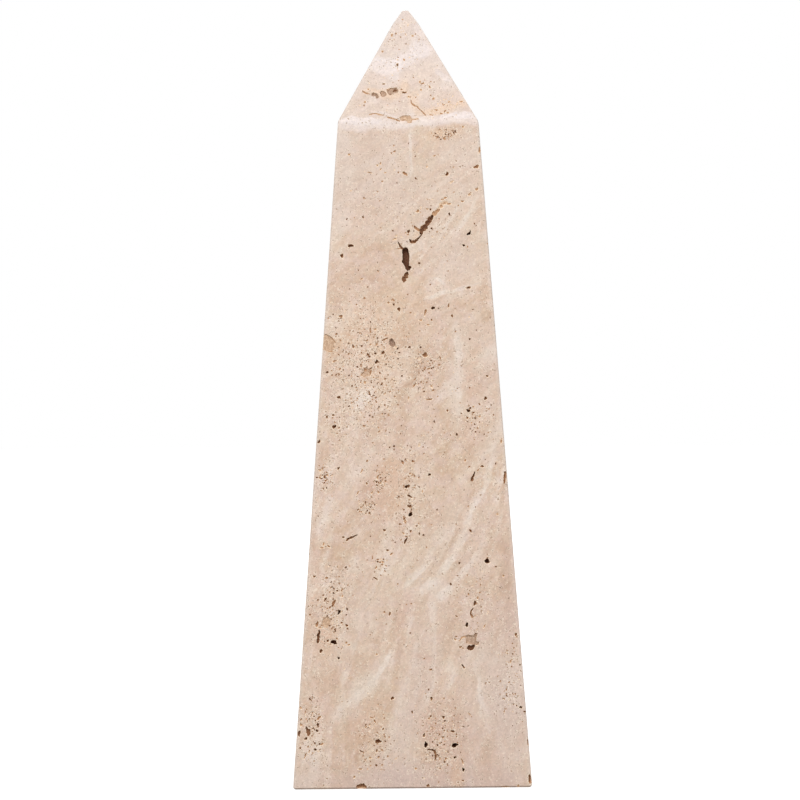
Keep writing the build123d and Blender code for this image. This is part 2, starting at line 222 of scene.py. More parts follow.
# Pits on the front of the shaft, in millimetres: (x, up, length, width, turn of the length up
# from level, darkness from 0 for a shallow pale one to 3 for a deep black one).
FRONT_SHAFT_PITS = [
    (21, 251.4, 1, 0.8, 0, 1), (27.3, 242.5, 2, 1, 90, 1), (26, 236, 1.8, 1.3, 20, 1),
    (14.7, 233.2, 1.6, 1, 80, 2), (16.3, 230, 2.1, 0.9, 20, 0), (26.1, 227.3, 1.2, 1, 40, 1),
    (23.3, 225.2, 1.2, 0.7, 15, 1), (20.5, 222.6, 1.2, 0.6, 0, 1), (-1.5, 233.4, 1.8, 1, -25, 1),
    (-0.2, 211, 1.3, 1, 80, 2), (12.9, 223.3, 1.3, 0.5, 15, 1), (14, 223.9, 1.3, 0.6, 10, 1),
    (15.4, 221.6, 1.4, 0.7, 0, 1), (13.6, 221.9, 1.1, 0.8, 0, 1), (12.5, 220.7, 1.2, 0.9, 30, 1),
    (5.2, 212.9, 1.4, 1.6, 60, 0), (-5.5, 207.9, 1.7, 1, 15, 0), (-5, 209.3, 1.2, 0.9, 60, 0),
    (-3, 208.9, 1, 0.7, 0, 0), (-1.6, 193.2, 1.2, 0.9, 80, 2), (0, 197, 1.5, 1.3, 30, 3),
    (20.9, 205.6, 0.9, 0.9, 0, 3), (22.6, 189.3, 1.4, 0.9, 10, 2), (14.9, 182.5, 2.2, 0.5, 80, 1),
    (8.9, 181.5, 1.4, 1.1, 20, 3), (6, 180, 2.4, 0.8, 80, 1), (16.2, 178.5, 1.2, 0.8, 90, 2),
    (4.3, 176.9, 1.3, 0.7, 10, 1), (7, 175.1, 1.2, 0.5, -10, 1), (-22.4, 205.5, 2, 1.2, 10, 2),
    (-25.7, 201.7, 1.7, 1, 85, 2), (-18.3, 192.7, 1.5, 0.5, 15, 1), (-8.1, 183.6, 1, 0.7, 0, 1),
    (-6.6, 184.8, 1.2, 0.6, 30, 1), (-4.1, 181.1, 1.3, 1.2, 0, 2), (-26.3, 178.4, 1.3, 1.2, 0, 1),
    (-13.2, 173.4, 1.1, 0.8, 0, 1), (-21.5, 166.8, 1, 0.9, 0, 2), (-12.7, 167.8, 1, 0.7, 60, 1),
    (-10.3, 164.5, 1.4, 1.1, 80, 2), (-12.7, 161, 1.5, 1.2, 60, 2), (-28.7, 161.3, 1.9, 0.5, 22, 1),
    (-17.2, 153.2, 1.1, 1, 0, 1), (-27.1, 147.5, 1.4, 1, -30, 2), (-29.3, 140.7, 0.9, 0.8, 0, 2),
    (-29, 136.3, 1.6, 1.3, 60, 2), (-11.9, 134.4, 1.2, 0.5, 50, 1), (-34.7, 130.7, 1.4, 0.9, 80, 2),
    (-0.6, 147.2, 1.2, 0.5, 90, 1), (5.7, 163.6, 2.2, 1.5, 15, 1), (3.6, 162, 1.4, 0.9, 50, 0),
    (3, 159.5, 1.2, 0.6, 50, 0), (29.4, 155.4, 1, 0.7, -40, 2), (1.6, 152, 2.2, 0.5, 55, 1),
    (8.1, 151.6, 1, 0.7, 30, 1), (7.2, 146.6, 2.2, 0.6, 0, 1), (28.7, 146.9, 1.2, 1.1, 0, 2),
    (14.1, 142.3, 1.1, 0.6, 85, 2), (22.1, 142.2, 1.4, 1.2, -10, 3), (24, 141.5, 1, 0.6, 20, 2),
    (21.7, 139.5, 0.9, 0.8, 0, 2), (26.3, 140, 0.9, 0.7, 0, 1), (3.4, 129.3, 1.5, 1.1, 60, 0),
    (34.5, 130.5, 1.4, 0.8, 90, 1), (-16.9, 158, 1.9, 1.1, -30, 1), (-15.1, 157, 1.8, 1, 80, 1),
    (-18.4, 155.9, 1.1, 0.7, -30, 1), (-14.9, 158.5, 1, 0.6, 20, 2), (-5.6, 166.6, 1.6, 1.1, -30, 0),
    (-6.9, 168.6, 1.5, 1.1, 70, 1), (-0.2, 102.9, 1.8, 1.2, 30, 3), (28.7, 85.1, 2.1, 1.5, 10, 3),
    (-27.4, 120.5, 1.1, 0.8, 70, 2), (-34.5, 119.8, 1, 0.8, 0, 1), (-31.6, 118, 1, 0.7, 50, 1),
    (-34.5, 117, 0.9, 0.7, 0, 1), (-18.5, 119.6, 1.7, 0.5, 60, 1), (-12.6, 117, 1.3, 0.8, 90, 1),
    (-13, 115.3, 0.9, 0.8, 0, 2), (-11.5, 114.9, 1, 0.7, 0, 1), (-16.7, 114.7, 0.8, 0.8, 0, 2),
    (-14.7, 111.3, 1.2, 0.6, 50, 1), (-20.1, 111.2, 1.6, 0.5, 70, 1), (-17.1, 103.4, 0.6, 0.6, 0, 2),
    (-15.8, 103.5, 0.9, 0.7, 80, 2), (-0.2, 118.4, 0.9, 0.7, 30, 1), (-1.7, 113.4, 1.3, 1.2, 0, 3),
    (-0.5, 109.8, 2, 0.7, -35, 2), (-0.9, 106, 1.2, 0.8, -30, 2), (-2.3, 100.5, 1, 0.8, 60, 1),
    (-0.2, 96.6, 0.8, 0.7, 0, 2), (-3, 95.8, 1.5, 0.5, -50, 1), (-2.1, 93, 2.4, 0.8, 65, 2),
    (-10.2, 97, 1.1, 0.8, 10, 2), (-25.7, 94.4, 1, 0.7, 10, 2), (-24.3, 93.3, 0.9, 0.7, 0, 2),
    (-33.1, 91.9, 1.2, 0.8, 80, 1), (-33.8, 90.5, 1.3, 0.6, 0, 1), (-31.3, 91, 1.2, 0.7, -40, 1),
    (-9, 89.4, 0.9, 0.7, 0, 2), (-7.5, 88, 1.6, 0.5, 40, 1), (-11, 85, 1.2, 0.6, -20, 1),
    (0.7, 123.1, 1, 0.7, 80, 2), (7.1, 117.9, 1.1, 0.9, -10, 3), (4.4, 111.6, 1.2, 0.5, 70, 1),
    (20.7, 123.3, 1, 0.7, 70, 1), (27.1, 121, 1.3, 0.8, 15, 2), (32.8, 102.9, 0.9, 0.8, 0, 1),
    (28.9, 86.3, 0.7, 0.5, 0, 2), (-36.7, 79.7, 0.9, 0.8, 0, 2), (-13.3, 83, 1.2, 0.5, 60, 1),
    (-13.6, 78.8, 1.7, 0.5, -30, 2), (-28.1, 74.3, 0.9, 0.6, 0, 2), (-26.3, 74.6, 1.6, 0.5, 65, 1),
    (-26.2, 72.3, 1, 0.6, 80, 1), (-32.6, 71, 1.5, 0.8, 65, 2), (-29.4, 69.8, 2.3, 1.1, 75, 1),
    (-30, 68.6, 0.9, 0.7, 80, 2), (-27.4, 66.2, 1.7, 0.9, 60, 3), (-38.4, 65.3, 0.8, 0.7, 0, 2),
    (-35.8, 61.7, 2, 1.1, 80, 1), (-34.6, 60.5, 1.1, 0.7, 0, 1), (-24.6, 61.2, 1, 0.9, 0, 2),
    (-31.7, 55.5, 1.1, 0.8, 60, 2), (-28.3, 56.3, 0.7, 0.7, 0, 2), (-34.3, 51.7, 1.4, 1.1, 80, 2),
    (-27.7, 49, 0.9, 0.9, 0, 3), (-23.8, 53.9, 1, 0.6, 30, 1), (-13.3, 50.3, 0.9, 0.7, 0, 1),
    (-8.3, 65.5, 1.3, 0.8, 80, 2), (34.8, 79.5, 0.9, 0.8, 0, 1), (25, 71.3, 1, 0.7, 50, 1),
    (23.9, 69.3, 2.2, 0.8, 75, 2), (16.9, 64.3, 0.9, 0.6, -40, 2), (20.8, 61.1, 1.6, 1, 70, 3),
    (27.5, 60.6, 1.5, 0.5, 65, 1), (16.3, 55.7, 1, 0.7, -45, 1), (18.3, 52.8, 0.9, 0.8, 0, 2),
    (39.3, 57.3, 1.3, 0.8, 85, 2), (37.3, 47.3, 1.4, 0.5, 75, 1), (19.3, 45.5, 1.8, 0.6, -50, 2),
    (-29.4, 55, 2, 1.6, 0, 3), (24.8, 53.9, 1.3, 0.8, 30, 1), (-32.3, 62.9, 2, 1.4, 60, 0),
    (-13, 17.7, 2.6, 1.3, 5, 2), (15.8, 16, 2.1, 1.7, 10, 3), (-42, 30.5, 1, 0.7, 90, 1),
    (-35.2, 26.7, 2, 0.8, 40, 1), (-35.6, 24, 1.6, 0.8, 80, 2), (-35.9, 21.9, 0.9, 0.9, 0, 3),
    (-36.9, 23, 1.2, 0.6, 70, 0), (-42, 24.2, 1.2, 0.8, 80, 1), (-42.6, 21, 1.8, 1, 85, 2),
    (-40.1, 19, 1.2, 0.9, 60, 2), (-36.6, 14.9, 1.2, 0.7, -10, 3), (-34, 17, 1.2, 0.8, 30, 1),
    (-40.3, 12.8, 2, 0.5, 70, 1), (-19.7, 7.5, 1.3, 0.6, 0, 1), (-22, 4.6, 0.9, 0.8, 0, 1),
    (-7.5, 33.8, 1.4, 1, 50, 2), (-15.4, 26.6, 1.6, 0.5, -20, 1), (-14.2, 25.2, 1.6, 0.6, -60, 1),
    (-16.1, 24, 1.2, 0.5, 60, 1), (-17.6, 23.1, 1, 0.6, 10, 1), (-11, 22.3, 0.9, 0.7, 80, 2),
    (-13.5, 14.3, 1.1, 0.7, 85, 2), (-19.2, 14, 1.6, 0.5, -25, 2), (-16, 11.6, 1, 0.7, -45, 1),
    (-6.3, 11.3, 1.4, 0.5, 30, 0), (7.2, 33.5, 1.2, 1, 90, 2), (6.3, 26.1, 0.9, 0.7, 30, 1),
    (6.9, 26.9, 0.9, 0.6, 60, 2), (11.7, 26.5, 1.1, 1, 0, 2), (15.1, 21.2, 1.7, 0.8, 0, 2),
    (4.3, 19.8, 1.3, 0.9, 60, 2), (5, 16.3, 2, 1.3, 100, 3), (10.2, 11.1, 1.2, 0.5, 85, 1),
    (15.9, 11.5, 1, 0.9, 0, 3), (18.7, 10, 2.4, 0.5, -75, 1), (19, 6.9, 1.5, 0.8, 90, 3),
    (18.8, 2.8, 0.9, 0.6, 0, 2), (1.1, 7.5, 0.9, 0.7, 30, 1), (5.7, 1.1, 1.1, 1, 0, 2),
    (40.9, 30, 1.2, 0.7, -20, 3), (21.5, 27.6, 1.5, 0.4, -50, 1), (43.5, 16.8, 2.2, 0.6, 100, 2),
    (44.1, 3, 3, 1.2, 95, 2), (39.7, 0.6, 1.2, 0.8, 90, 1), (35, 0.3, 3.4, 0.8, 0, 1),
    (3.4, 218.8, 1.2, 1.1, 0, 1), (-10.8, 237.2, 0.9, 0.6, 60, 1), (-12, 236.5, 0.9, 0.6, 0, 1),
    (-15, 233.7, 1.7, 0.4, -10, 1), (-10.7, 235, 1.1, 0.4, 40, 1), (-22.8, 240.7, 0.9, 0.7, 0, 1),
    (7, 236, 0.8, 0.7, 0, 1), (9.9, 240.2, 1, 0.5, 20, 1), (-9, 233.7, 0.8, 0.5, 0, 1),
    (7.1, 219.6, 1, 0.5, 0, 1), (6.9, 223.5, 0.9, 0.5, 0, 0), (9, 223.4, 1, 0.5, 0, 0),
]
FRONT_PYRAMIDION_PITS = [
    (-7, 15.2, 0.9, 0.7, 30, 1), (-1.9, 0.8, 1.4, 1, 0, 1), (-14.2, 3.2, 1.3, 0.6, 20, 0),
    (-6.7, 12.9, 1.3, 0.8, 0, 2), (-1.3, 13.5, 1.6, 0.8, -10, 2), (0.3, 11.5, 0.9, 0.8, 0, 1),
    (-9.2, 17.5, 1, 0.6, 0, 2), (-16.6, 9, 1.2, 0.6, 70, 1), (-3.7, 26.7, 1.1, 0.8, 90, 2),
    (-1.1, 29.1, 0.9, 0.7, 90, 1), (-5.6, 41, 1.2, 0.8, 90, 1), (-9.4, 33.1, 1, 0.6, 90, 1),
    (-1.2, 48.8, 1, 0.7, 90, 1), (0.9, 46.2, 1, 0.6, 50, 0), (2.6, 40.7, 0.9, 0.7, 70, 1),
    (4.9, 18.6, 1, 0.7, -70, 1), (5.8, 17.8, 1.4, 0.7, 10, 1), (8.6, 16.2, 1.3, 0.6, -70, 1),
    (5.2, 14.8, 1, 0.6, 90, 1), (9.9, 10.6, 1.2, 0.7, 70, 1), (14, 10.1, 1.2, 0.5, 90, 0),
    (17.4, 11.8, 0.9, 0.7, 60, 0), (15.9, 9.1, 0.9, 0.8, 0, 1), (16.7, 7.7, 1.6, 0.4, -25, 0),
    (19, 8.1, 1.9, 0.5, 75, 0), (20.6, 9.2, 1.2, 0.7, 10, 1), (15.2, 4, 0.9, 0.7, 0, 1),
    (14.2, 4.8, 1.7, 0.5, 60, 1), (12.7, 3.6, 1, 0.8, 0, 1), (10.9, 5.4, 1.3, 0.6, 0, 1),
    (8.8, 3, 1.4, 0.6, -10, 1), (-5, 14.8, 1.7, 1.3, 20, 2), (-15.1, 15.1, 0.9, 0.6, 0, 1),
    (-18.4, 7.3, 0.8, 0.6, 0, 0),
]
# Patches of fine pores: (lowest x, highest x, lowest up, highest up, how many)
FRONT_SHAFT_PORES = [
    (-32, -1, 125, 186, 470), (-36, -29, 112, 123, 60), (-14, -8, 110, 121, 50), (-21, -13, 102, 110, 45),
    (-6, 4, 86, 131, 110), (0, 12, 145, 168, 90), (-38, -22, 48, 86, 180), (-43, -33, 10, 36, 110),
    (-22, -8, 5, 30, 80), (3, 20, 0, 36, 130), (31, 43, 20, 60, 80), (15, 30, 55, 85, 50),
    (7, 20, 246, 251, 60), (-16, -8, 78, 90, 40), (-28, 28, 182, 252, 110), (18, 32, 128, 146, 60),
    (-44, 44, 0, 252, 380),
]
FRONT_PYRAMIDION_PORES = [(7, 20, 2, 12, 60), (-6, 6, 33, 48, 30), (-26, 26, 0, 50, 70)]
SIDE_SHAFT_PORES = [(-44, 44, 0, 252, 380)]
SIDE_PYRAMIDION_PORES = [(-26, 26, 0, 50, 60)]


# ---------------------------------------------------------------- faces of the stone

class Face:
    """One flat sloping face: its size and the matrix from (x, up, out) to the frame, both in mm."""

    def __init__(self, foot_height, foot_half, rise, top_half, turn):
        reach = foot_half - top_half
        self.foot_half = foot_half
        self.top_half = top_half
        self.slope = math.hypot(rise, reach)
        side = Vector((1, 0, 0))
        up = Vector((0, reach, rise)).normalized()
        out = side.cross(up)
        local = Matrix((side, up, out)).transposed().to_4x4()
        local.translation = (0, -foot_half, foot_height)
        self.matrix = np.array(Matrix.Rotation(math.radians(turn), 4, "Z") @ local)

    def half_width(self, up):
        return self.foot_half + (self.top_half - self.foot_half) * up / self.slope

    def place(self, points):
        """Points of (x, up, out) in the frame."""
        points = np.asarray(points, float)
        return points @ self.matrix[:3, :3].T + self.matrix[:3, 3]

    def holds(self, x, up, below, above, beside):
        """Whether a place is on the face, with these margins to its foot, its top and its sides."""
        return below < up < self.slope - above and abs(x) <= self.half_width(up) - beside

    def from_shares(self, stations):
        """Stations given as shares of the face, as (x, up, width) in mm."""
        return [(across * self.half_width(up * self.slope), up * self.slope, width)
                for across, up, width in stations]


def shaft_face(turn):
    return Face(0, BASE_HALF, SHOULDER_HEIGHT, SHOULDER_HALF, turn)


def pyramidion_face(turn):
    return Face(SHOULDER_HEIGHT, SHOULDER_HALF, PYRAMIDION_HEIGHT, TIP_HALF, turn)


# ---------------------------------------------------------------- meshes

def mesh_object(name, points, faces):
    mesh = bpy.data.meshes.new(name)
    mesh.from_pydata([tuple(p) for p in np.asarray(points) * MM], [], faces)
    mesh.update()
    thing = bpy.data.objects.new(name, mesh)
    bpy.context.scene.collection.objects.link(thing)
    return thing


def arc(before, corner, after, radius, steps):
    """Points along the round of this radius that eases a corner of the outline."""
    to_before = (Vector(before) - Vector(corner)).normalized()
    to_after = (Vector(after) - Vector(corner)).normalized()
    half_angle = to_before.angle(to_after) / 2
    centre = Vector(corner) + (to_before + to_after).normalized() * radius / math.sin(half_angle)
    reach = radius / math.tan(half_angle)
    first = Vector(corner) + to_before * reach - centre
    last = Vector(corner) + to_after * reach - centre
    return [centre + first.slerp(last, step / steps) * radius for step in range(steps + 1)]


def outline():
    """The stone's profile from foot to tip, as (half width, height)."""
    foot = (BASE_HALF, 0)
    shoulder = (SHOULDER_HALF, SHOULDER_HEIGHT)
    worn = (WORN_HALF, HEIGHT - WORN_HEIGHT)
    tip = (WORN_TIP_HALF, HEIGHT)
    points = [Vector((BASE_HALF - FOOT_CHAMFER, 0)), Vector((WIDEST_HALF, FOOT_CHAMFER))]
    points += arc(foot, shoulder, worn, SHOULDER_RADIUS, ARC_STEPS)
    points += arc(shoulder, worn, tip, WORN_RADIUS, WORN_ARC_STEPS)
    points += arc(worn, tip, (0, HEIGHT), TIP_RADIUS, ARC_STEPS)
    return points


def divided(points, step):
    """The profile with points added, so that no stretch is longer than the step."""
    result = [points[0]]
    for start, end in zip(points, points[1:]):
        count = max(1, round((end - start).length / step))
        result += [start.lerp(end, i / count) for i in range(1, count + 1)]
    return result


def way_at(angle):
    return np.array([math.cos(angle), math.sin(angle)])


def eased_square(half, radius):
    """One ring of the stone: a square with round corners, its sides in equal columns."""
    ring = []
    flat = half - radius
    right_angle = math.pi / 2
    for side in range(4):
        out = way_at(right_angle * side)
        along = way_at(right_angle * (side + 1))
        for step in range(COLUMNS):
            ring.append(half * out + flat * (2 * step / COLUMNS - 1) * along)
        for step in range(ARC_STEPS):
            angle = right_angle * step / ARC_STEPS
            ring.append(flat * (out + along) + radius * (math.cos(angle) * out + math.sin(angle) * along))
    return ring


def stone_body():
    """Rings up the profile, close enough that every flat is a grid of small quads."""
    points = []
    faces = []
    profile = divided(outline(), CELL)
    for half, height in profile:
        ring = eased_square(half, min(ARRIS_RADIUS, half * MOST_ROUND))
        points += [(x, y, height) for x, y in ring]
    size = len(ring)
    last = len(points) - size
    for start in range(0, last, size):
        for i in range(size):
            j = (i + 1) % size
            faces.append((start + i, start + j, start + size + j, start + size + i))
    faces.append(tuple(range(size))[::-1])
    faces.append(tuple(range(last, last + size)))
    return mesh_object("travertine_stone", points, faces)


class Cutters:
    """Closed cutters, sorted into sets in which none touches another."""

    def __init__(self):
        self.sets = []

    def add(self, points, faces, centres, radius, kind=0):
        """Puts a cutter into the first set where its spheres, round centres, are free."""
        centres = np.asarray(centres)
        for group in self.sets:
            others = np.concatenate(group["centres"])
            reach = np.concatenate(group["reach"]) + radius
            gaps = np.linalg.norm(others[None] - centres[:, None], axis=2)
            if (gaps > reach[None]).all():
                break
        else:
            group = {"points": [], "faces": [], "kinds": [], "count": 0, "centres": [], "reach": []}
            self.sets.append(group)
        group["faces"] += [tuple(i + group["count"] for i in face) for face in faces]
        group["kinds"] += [kind] * len(faces)
        group["points"].append(points)
        group["count"] += len(points)
        group["centres"].append(centres)
        group["reach"].append(np.full(len(centres), radius))

    def objects(self, materials):
        for number, group in enumerate(self.sets):
            thing = mesh_object(f"cutter_{number}", np.concatenate(group["points"]), group["faces"])
            for material in materials:
                thing.data.materials.append(material)
            thing.data.polygons.foreach_set("material_index", group["kinds"])
            yield thing


def loft(rings):
    """Faces of a closed mesh through rings of equal count, with flat ends."""
    size = len(rings[0])
    faces = []
    last = (len(rings) - 1) * size
    for start in range(0, last, size):
        for i in range(size):
            j = (i + 1) % size
            faces.append((start + i, start + size + i, start + size + j, start + j))
    faces.append(tuple(range(size)))
    faces.append(tuple(range(last, last + size))[::-1])
    return faces


PIT_DEPTHS = (0.16, 0.45, 0.8, 1.35)  # for each darkness, as a share of the pit's middle size
PIT_CORNERS = 9
SIDE_PIT_CORNERS = 8
PORE_CORNERS = 5
RIM_WIDTH = 0.3
RIMMED_SIZE = 1.2  # the middle size from which a pit has the whole rim
MOUTH_GROWTH = 1.2  # a front pit's worn mouth, as a share of its dark part
MOUTH_WAVES = [(2, 0.7), (3, 0.8), (5, 0.5)]  # round a pit's mouth: how many, and how high
MOUTH_ROUGHNESS = 0.22
SMALL_MOUTH_ROUGHNESS = 0.16
SMALL_MOUTH = 0.7


def turned(along, aside, angle):
    """A step turned by an angle, so that one along and beside a way comes out in x and up."""
    return (along * math.cos(angle) - aside * math.sin(angle),
            along * math.sin(angle) + aside * math.cos(angle))


def pit_levels(depth, middle, darkness, corners):
    """The rings of a pit from its mouth down: (out, share of the mouth, how far off centre)."""
    if corners == PORE_CORNERS:
        return [(LIP, 1.0, 0), (-depth, 0.5, 1)]
    if darkness == 0:
        return [(LIP, 1.05, 0), (-0.6 * depth, 0.8, 0.5), (-depth, 0.4, 1)]
    rim = min(1, middle / RIMMED_SIZE) * 2 / middle
    return [(LIP, 1 + RIM_WIDTH * rim, 0), (RIM_TOP, 1 + 0.16 * rim, 0), (RIM_FOOT, 0.97, 0),
            (-0.55 * depth, 0.8, 0.5), (-depth, 0.4, 1)]


def add_pit(cutters, face, pit, draw, corners=PIT_CORNERS):
    """A ragged bowl: an uneven oval mouth with a worn rim, sides that draw in, a floor off centre."""
    x, up, length, width, turn, darkness = pit
    middle = math.sqrt(length * width)
    depth = middle * PIT_DEPTHS[darkness] * draw.uniform(0.85, 1.15)
    turn = math.radians(turn)
    waves = [(count, high, draw.uniform(0, math.tau)) for count, high in MOUTH_WAVES]
    rough = SMALL_MOUTH_ROUGHNESS if middle < SMALL_MOUTH else MOUTH_ROUGHNESS
    mouth = []
    for i in range(corners):
        angle = math.tau * i / corners
        swell = sum(high * math.sin(count * angle + phase) for count, high, phase in waves)
        size = 1 + rough * swell + draw.uniform(-0.08, 0.08)
        mouth.append(turned(length / 2 * size * math.cos(angle), width / 2 * size * math.sin(angle), turn))
    mouth = np.array(mouth)
    drift = np.array([draw.uniform(-0.12, 0.12) * width for _ in range(2)])
    rings = []
    for out, share, moved in pit_levels(depth, middle, darkness, corners):
        ring = mouth * share + drift * moved + (x, up)
        rings.append(np.column_stack([ring, np.full(corners, out)]))
    spheres = max(1, round(length / width))
    reach = (length - width) / 2 if spheres > 1 else 0
    steps = [turned(along, 0, turn) for along in np.linspace(-reach, reach, spheres)]
    centres = [(x + right, up + higher, -depth / 2) for right, higher in steps]
    rim = 0.0 if corners == PORE_CORNERS else RIM_WIDTH * min(1, middle / RIMMED_SIZE)
    radius = math.hypot(width * 0.72 + rim, depth / 2 + LIP)
    cutters.add(face.place(np.concatenate(rings)), loft(rings), face.place(centres), radius)


RIBBON_STEP = 0.4
# Half of a ribbon's cross-section, from the rim in: (share of the half width, millimetres more,
# height above the face, share of the depth)
RIBBON_SIDE = [(1.0, 0.28, LIP, 0.0), (1.0, 0.15, RIM_TOP, 0.0), (1.0, 0.0, RIM_FOOT, 0.0),
               (0.9, 0.0, 0.0, 0.5), (0.5, 0.0, 0.0, 0.86)]
# How a ribbon is rounded off: (how far past its end, as a share of its width; share of its section)
RIBBON_END = [(0.3, 0.75), (0.42, 0.35)]
RIBBON_RAGGEDNESS = 0.8  # of its edges, as a share of the half width
RIBBON_UNEVENNESS = 0.35  # of its floor, as a share of the depth


def add_ribbon(cutters, face, depth, stations, draw):
    """A ragged trough along the stations of (x, up, width), rounded off at both ends."""
    stations = np.array(stations, float)
    lengths = np.linalg.norm(np.diff(stations[:, :2], axis=0), axis=1)
    along = np.concatenate([[0], np.cumsum(lengths)])
    count = max(5, round(along[-1] / RIBBON_STEP))
    at = np.linspace(0, along[-1], count)
    line = np.column_stack([np.interp(at, along, stations[:, k]) for k in range(3)])
    line[1:-1] = (line[:-2] + 2 * line[1:-1] + line[2:]) / 4
    ways = np.gradient(line[:, :2], axis=0)
    ways /= np.linalg.norm(ways, axis=1)[:, None]
    seed = draw.uniform(0, 100)
    rings = []
    spans = [(0, -past, share) for past, share in reversed(RIBBON_END)]
    spans += [(i, 0, 1.0) for i in range(count)]
    spans += [(count - 1, past, share) for past, share in RIBBON_END]
    section = [(1, *level) for level in RIBBON_SIDE] + [(0, 0.0, 0.0, 0.0, 1.0)]
    section += [(-1, *level) for level in reversed(RIBBON_SIDE)]
    for place, (i, shift, share) in enumerate(spans):
        x, up, width = line[i]
        beside = np.array([-ways[i][1], ways[i][0]])
        centre = np.array([x, up]) + ways[i] * shift * width
        ring = []
        for side, across, more, out, deep in section:
            bumps = noise.noise(Vector((place * RIBBON_STEP * 1.9, side * 3.1, seed + 0.3 * deep)))
            half = width / 2 * share * (1 + RIBBON_RAGGEDNESS * bumps + draw.uniform(-0.07, 0.07))
            level = out - deep * depth * (0.55 + 0.45 * share) * (1 + RIBBON_UNEVENNESS * bumps)
            point = centre + beside * side * (across * half + more * min(1, width))
            ring.append((point[0], point[1], level))
        rings.append(np.array(ring))
    centres = [(line[i][0], line[i][1], -depth / 2) for i in range(0, count, 2)]
    radius = math.hypot(line[:, 2].max() * 0.75 + 0.3, depth / 2 + LIP)
    cutters.add(face.place(np.concatenate(rings)), loft(rings), face.place(centres), radius)


HOLLOW_STEP = 0.45
# From a hollow's rim in: (height above the face, share of the depth, millimetres outwards)
HOLLOW_LEVELS = [(LIP, 0.0, 0.22), (RIM_TOP, 0.0, 0.1), (RIM_FOOT, 0.0, 0.0), (0.0, 0.8, -0.14),
                 (0.0, 1.0, -0.32)]
HOLLOW_RAGGEDNESS = 0.13


def add_hollow(cutters, face, depth, corners, draw, kind):
    """A hollow with a flat floor, whose ragged mouth goes anticlockwise through the corners."""
    corners = [Vector(corner) for corner in corners]
    mouth = []
    for start, end in zip(corners, corners[1:] + corners[:1]):
        count = max(1, round((end - start).length / HOLLOW_STEP))
        mouth += [start.lerp(end, i / count) for i in range(count)]
    mouth = np.array([[value + draw.uniform(-HOLLOW_RAGGEDNESS, HOLLOW_RAGGEDNESS) for value in point]
                      for point in mouth])
    ways = np.roll(mouth, -1, axis=0) - np.roll(mouth, 1, axis=0)
    ways /= np.linalg.norm(ways, axis=1)[:, None]
    outwards = np.column_stack([ways[:, 1], -ways[:, 0]])
    rings = []
    for out, deep, moved in HOLLOW_LEVELS:
        rings.append(np.column_stack([mouth + outwards * moved, np.full(len(mouth), out - deep * depth)]))
    middle = mouth.mean(axis=0)
    radius = np.linalg.norm(mouth - middle, axis=1).max() + 0.4
    cutters.add(face.place(np.concatenate(rings)), loft(rings), face.place([(*middle, 0)]), radius, kind)


def scatter_pores(cutters, face, patches, draw, darknesses=(0, 1, 1, 2)):
    """Fine pores, drawn towards the middle of each patch."""
    for low_x, high_x, low_up, high_up, count in patches:
        for _ in range(count):
            x = draw.triangular(low_x, high_x)
            up = draw.triangular(low_up, high_up)
            if not face.holds(x, up, 0.5, 0.5, 0.2):
                continue
            size = draw.triangular(0.35, 1.1, 0.4)
            pit = (x, up, size * draw.uniform(1, 1.6), size, draw.uniform(0, 180), draw.choice(darknesses))
            add_pit(cutters, face, pit, draw, corners=PORE_CORNERS)


def place_pit(cutters, face, draw, x, up, size, way):
    """One drawn pit, if it lies on the face; a larger one is more often dark."""
    if not face.holds(x, up, 0.6, 0.8, -0.2):
        return
    darkness = draw.choices((0, 1, 2, 3), (3, 5, 3, 1) if size > 0.7 else (4, 5, 1, 0))[0]
    pit = (x, up, size * draw.uniform(1, 2.2), size, math.degrees(way) + draw.gauss(0, 35), darkness)
    add_pit(cutters, face, pit, draw, corners=SIDE_PIT_CORNERS if size > 0.75 else PORE_CORNERS)


def grow_pits(cutters, face, draw, clusters, singles):
    """Natural-looking pits for a face that isn't the front: streaks of them, and strays."""
    for _ in range(clusters):
        up = draw.uniform(4, face.slope - 4)
        x = draw.uniform(-1, 1) * face.half_width(up) * 0.9
        way = math.radians(draw.uniform(25, 75))
        reach = draw.uniform(3, 13)
        for _ in range(draw.randint(8, 26)):
            along = draw.gauss(0, reach)
            aside = draw.gauss(0, reach * 0.28)
            size = min(2.2, draw.lognormvariate(-0.62, 0.42))
            step = turned(along, aside, way)
            place_pit(cutters, face, draw, x + step[0], up + step[1], size, way)
    for _ in range(singles):
        up = draw.uniform(2, face.slope - 2)
        x = draw.uniform(-1, 1) * face.half_width(up)
        place_pit(cutters, face, draw, x, up, min(1.6, draw.lognormvariate(-0.75, 0.4)),
                  draw.uniform(0, math.pi))


def triangulate(mesh):
    work = bmesh.new()
    work.from_mesh(mesh)
    bmesh.ops.triangulate(work, faces=work.faces)
    work.to_mesh(mesh)
    work.free()


def cut(stone, cutters, materials):
    """Takes every cutter out of the stone, one set after another."""
    for cutter in cutters.objects(materials):
        step = stone.modifiers.new("voids", "BOOLEAN")
        step.operation = "DIFFERENCE"
        step.solver = "MANIFOLD"
        step.material_mode = "TRANSFER"
        step.object = cutter
        evaluated = stone.evaluated_get(bpy.context.evaluated_depsgraph_get())
        made = bpy.data.meshes.new_from_object(evaluated)
        triangulate(made)
        stone.modifiers.clear()
        old = stone.data
        stone.data = made
        bpy.data.meshes.remove(old)
        bpy.data.objects.remove(cutter)


UNDERSIDE = 4  # its place in the map for baking, after the four sides
MAP_GAP = 2  # between two places in that map
FOOT_LEVEL = 0.01  # a triangle whose middle is lower than this is on the underside


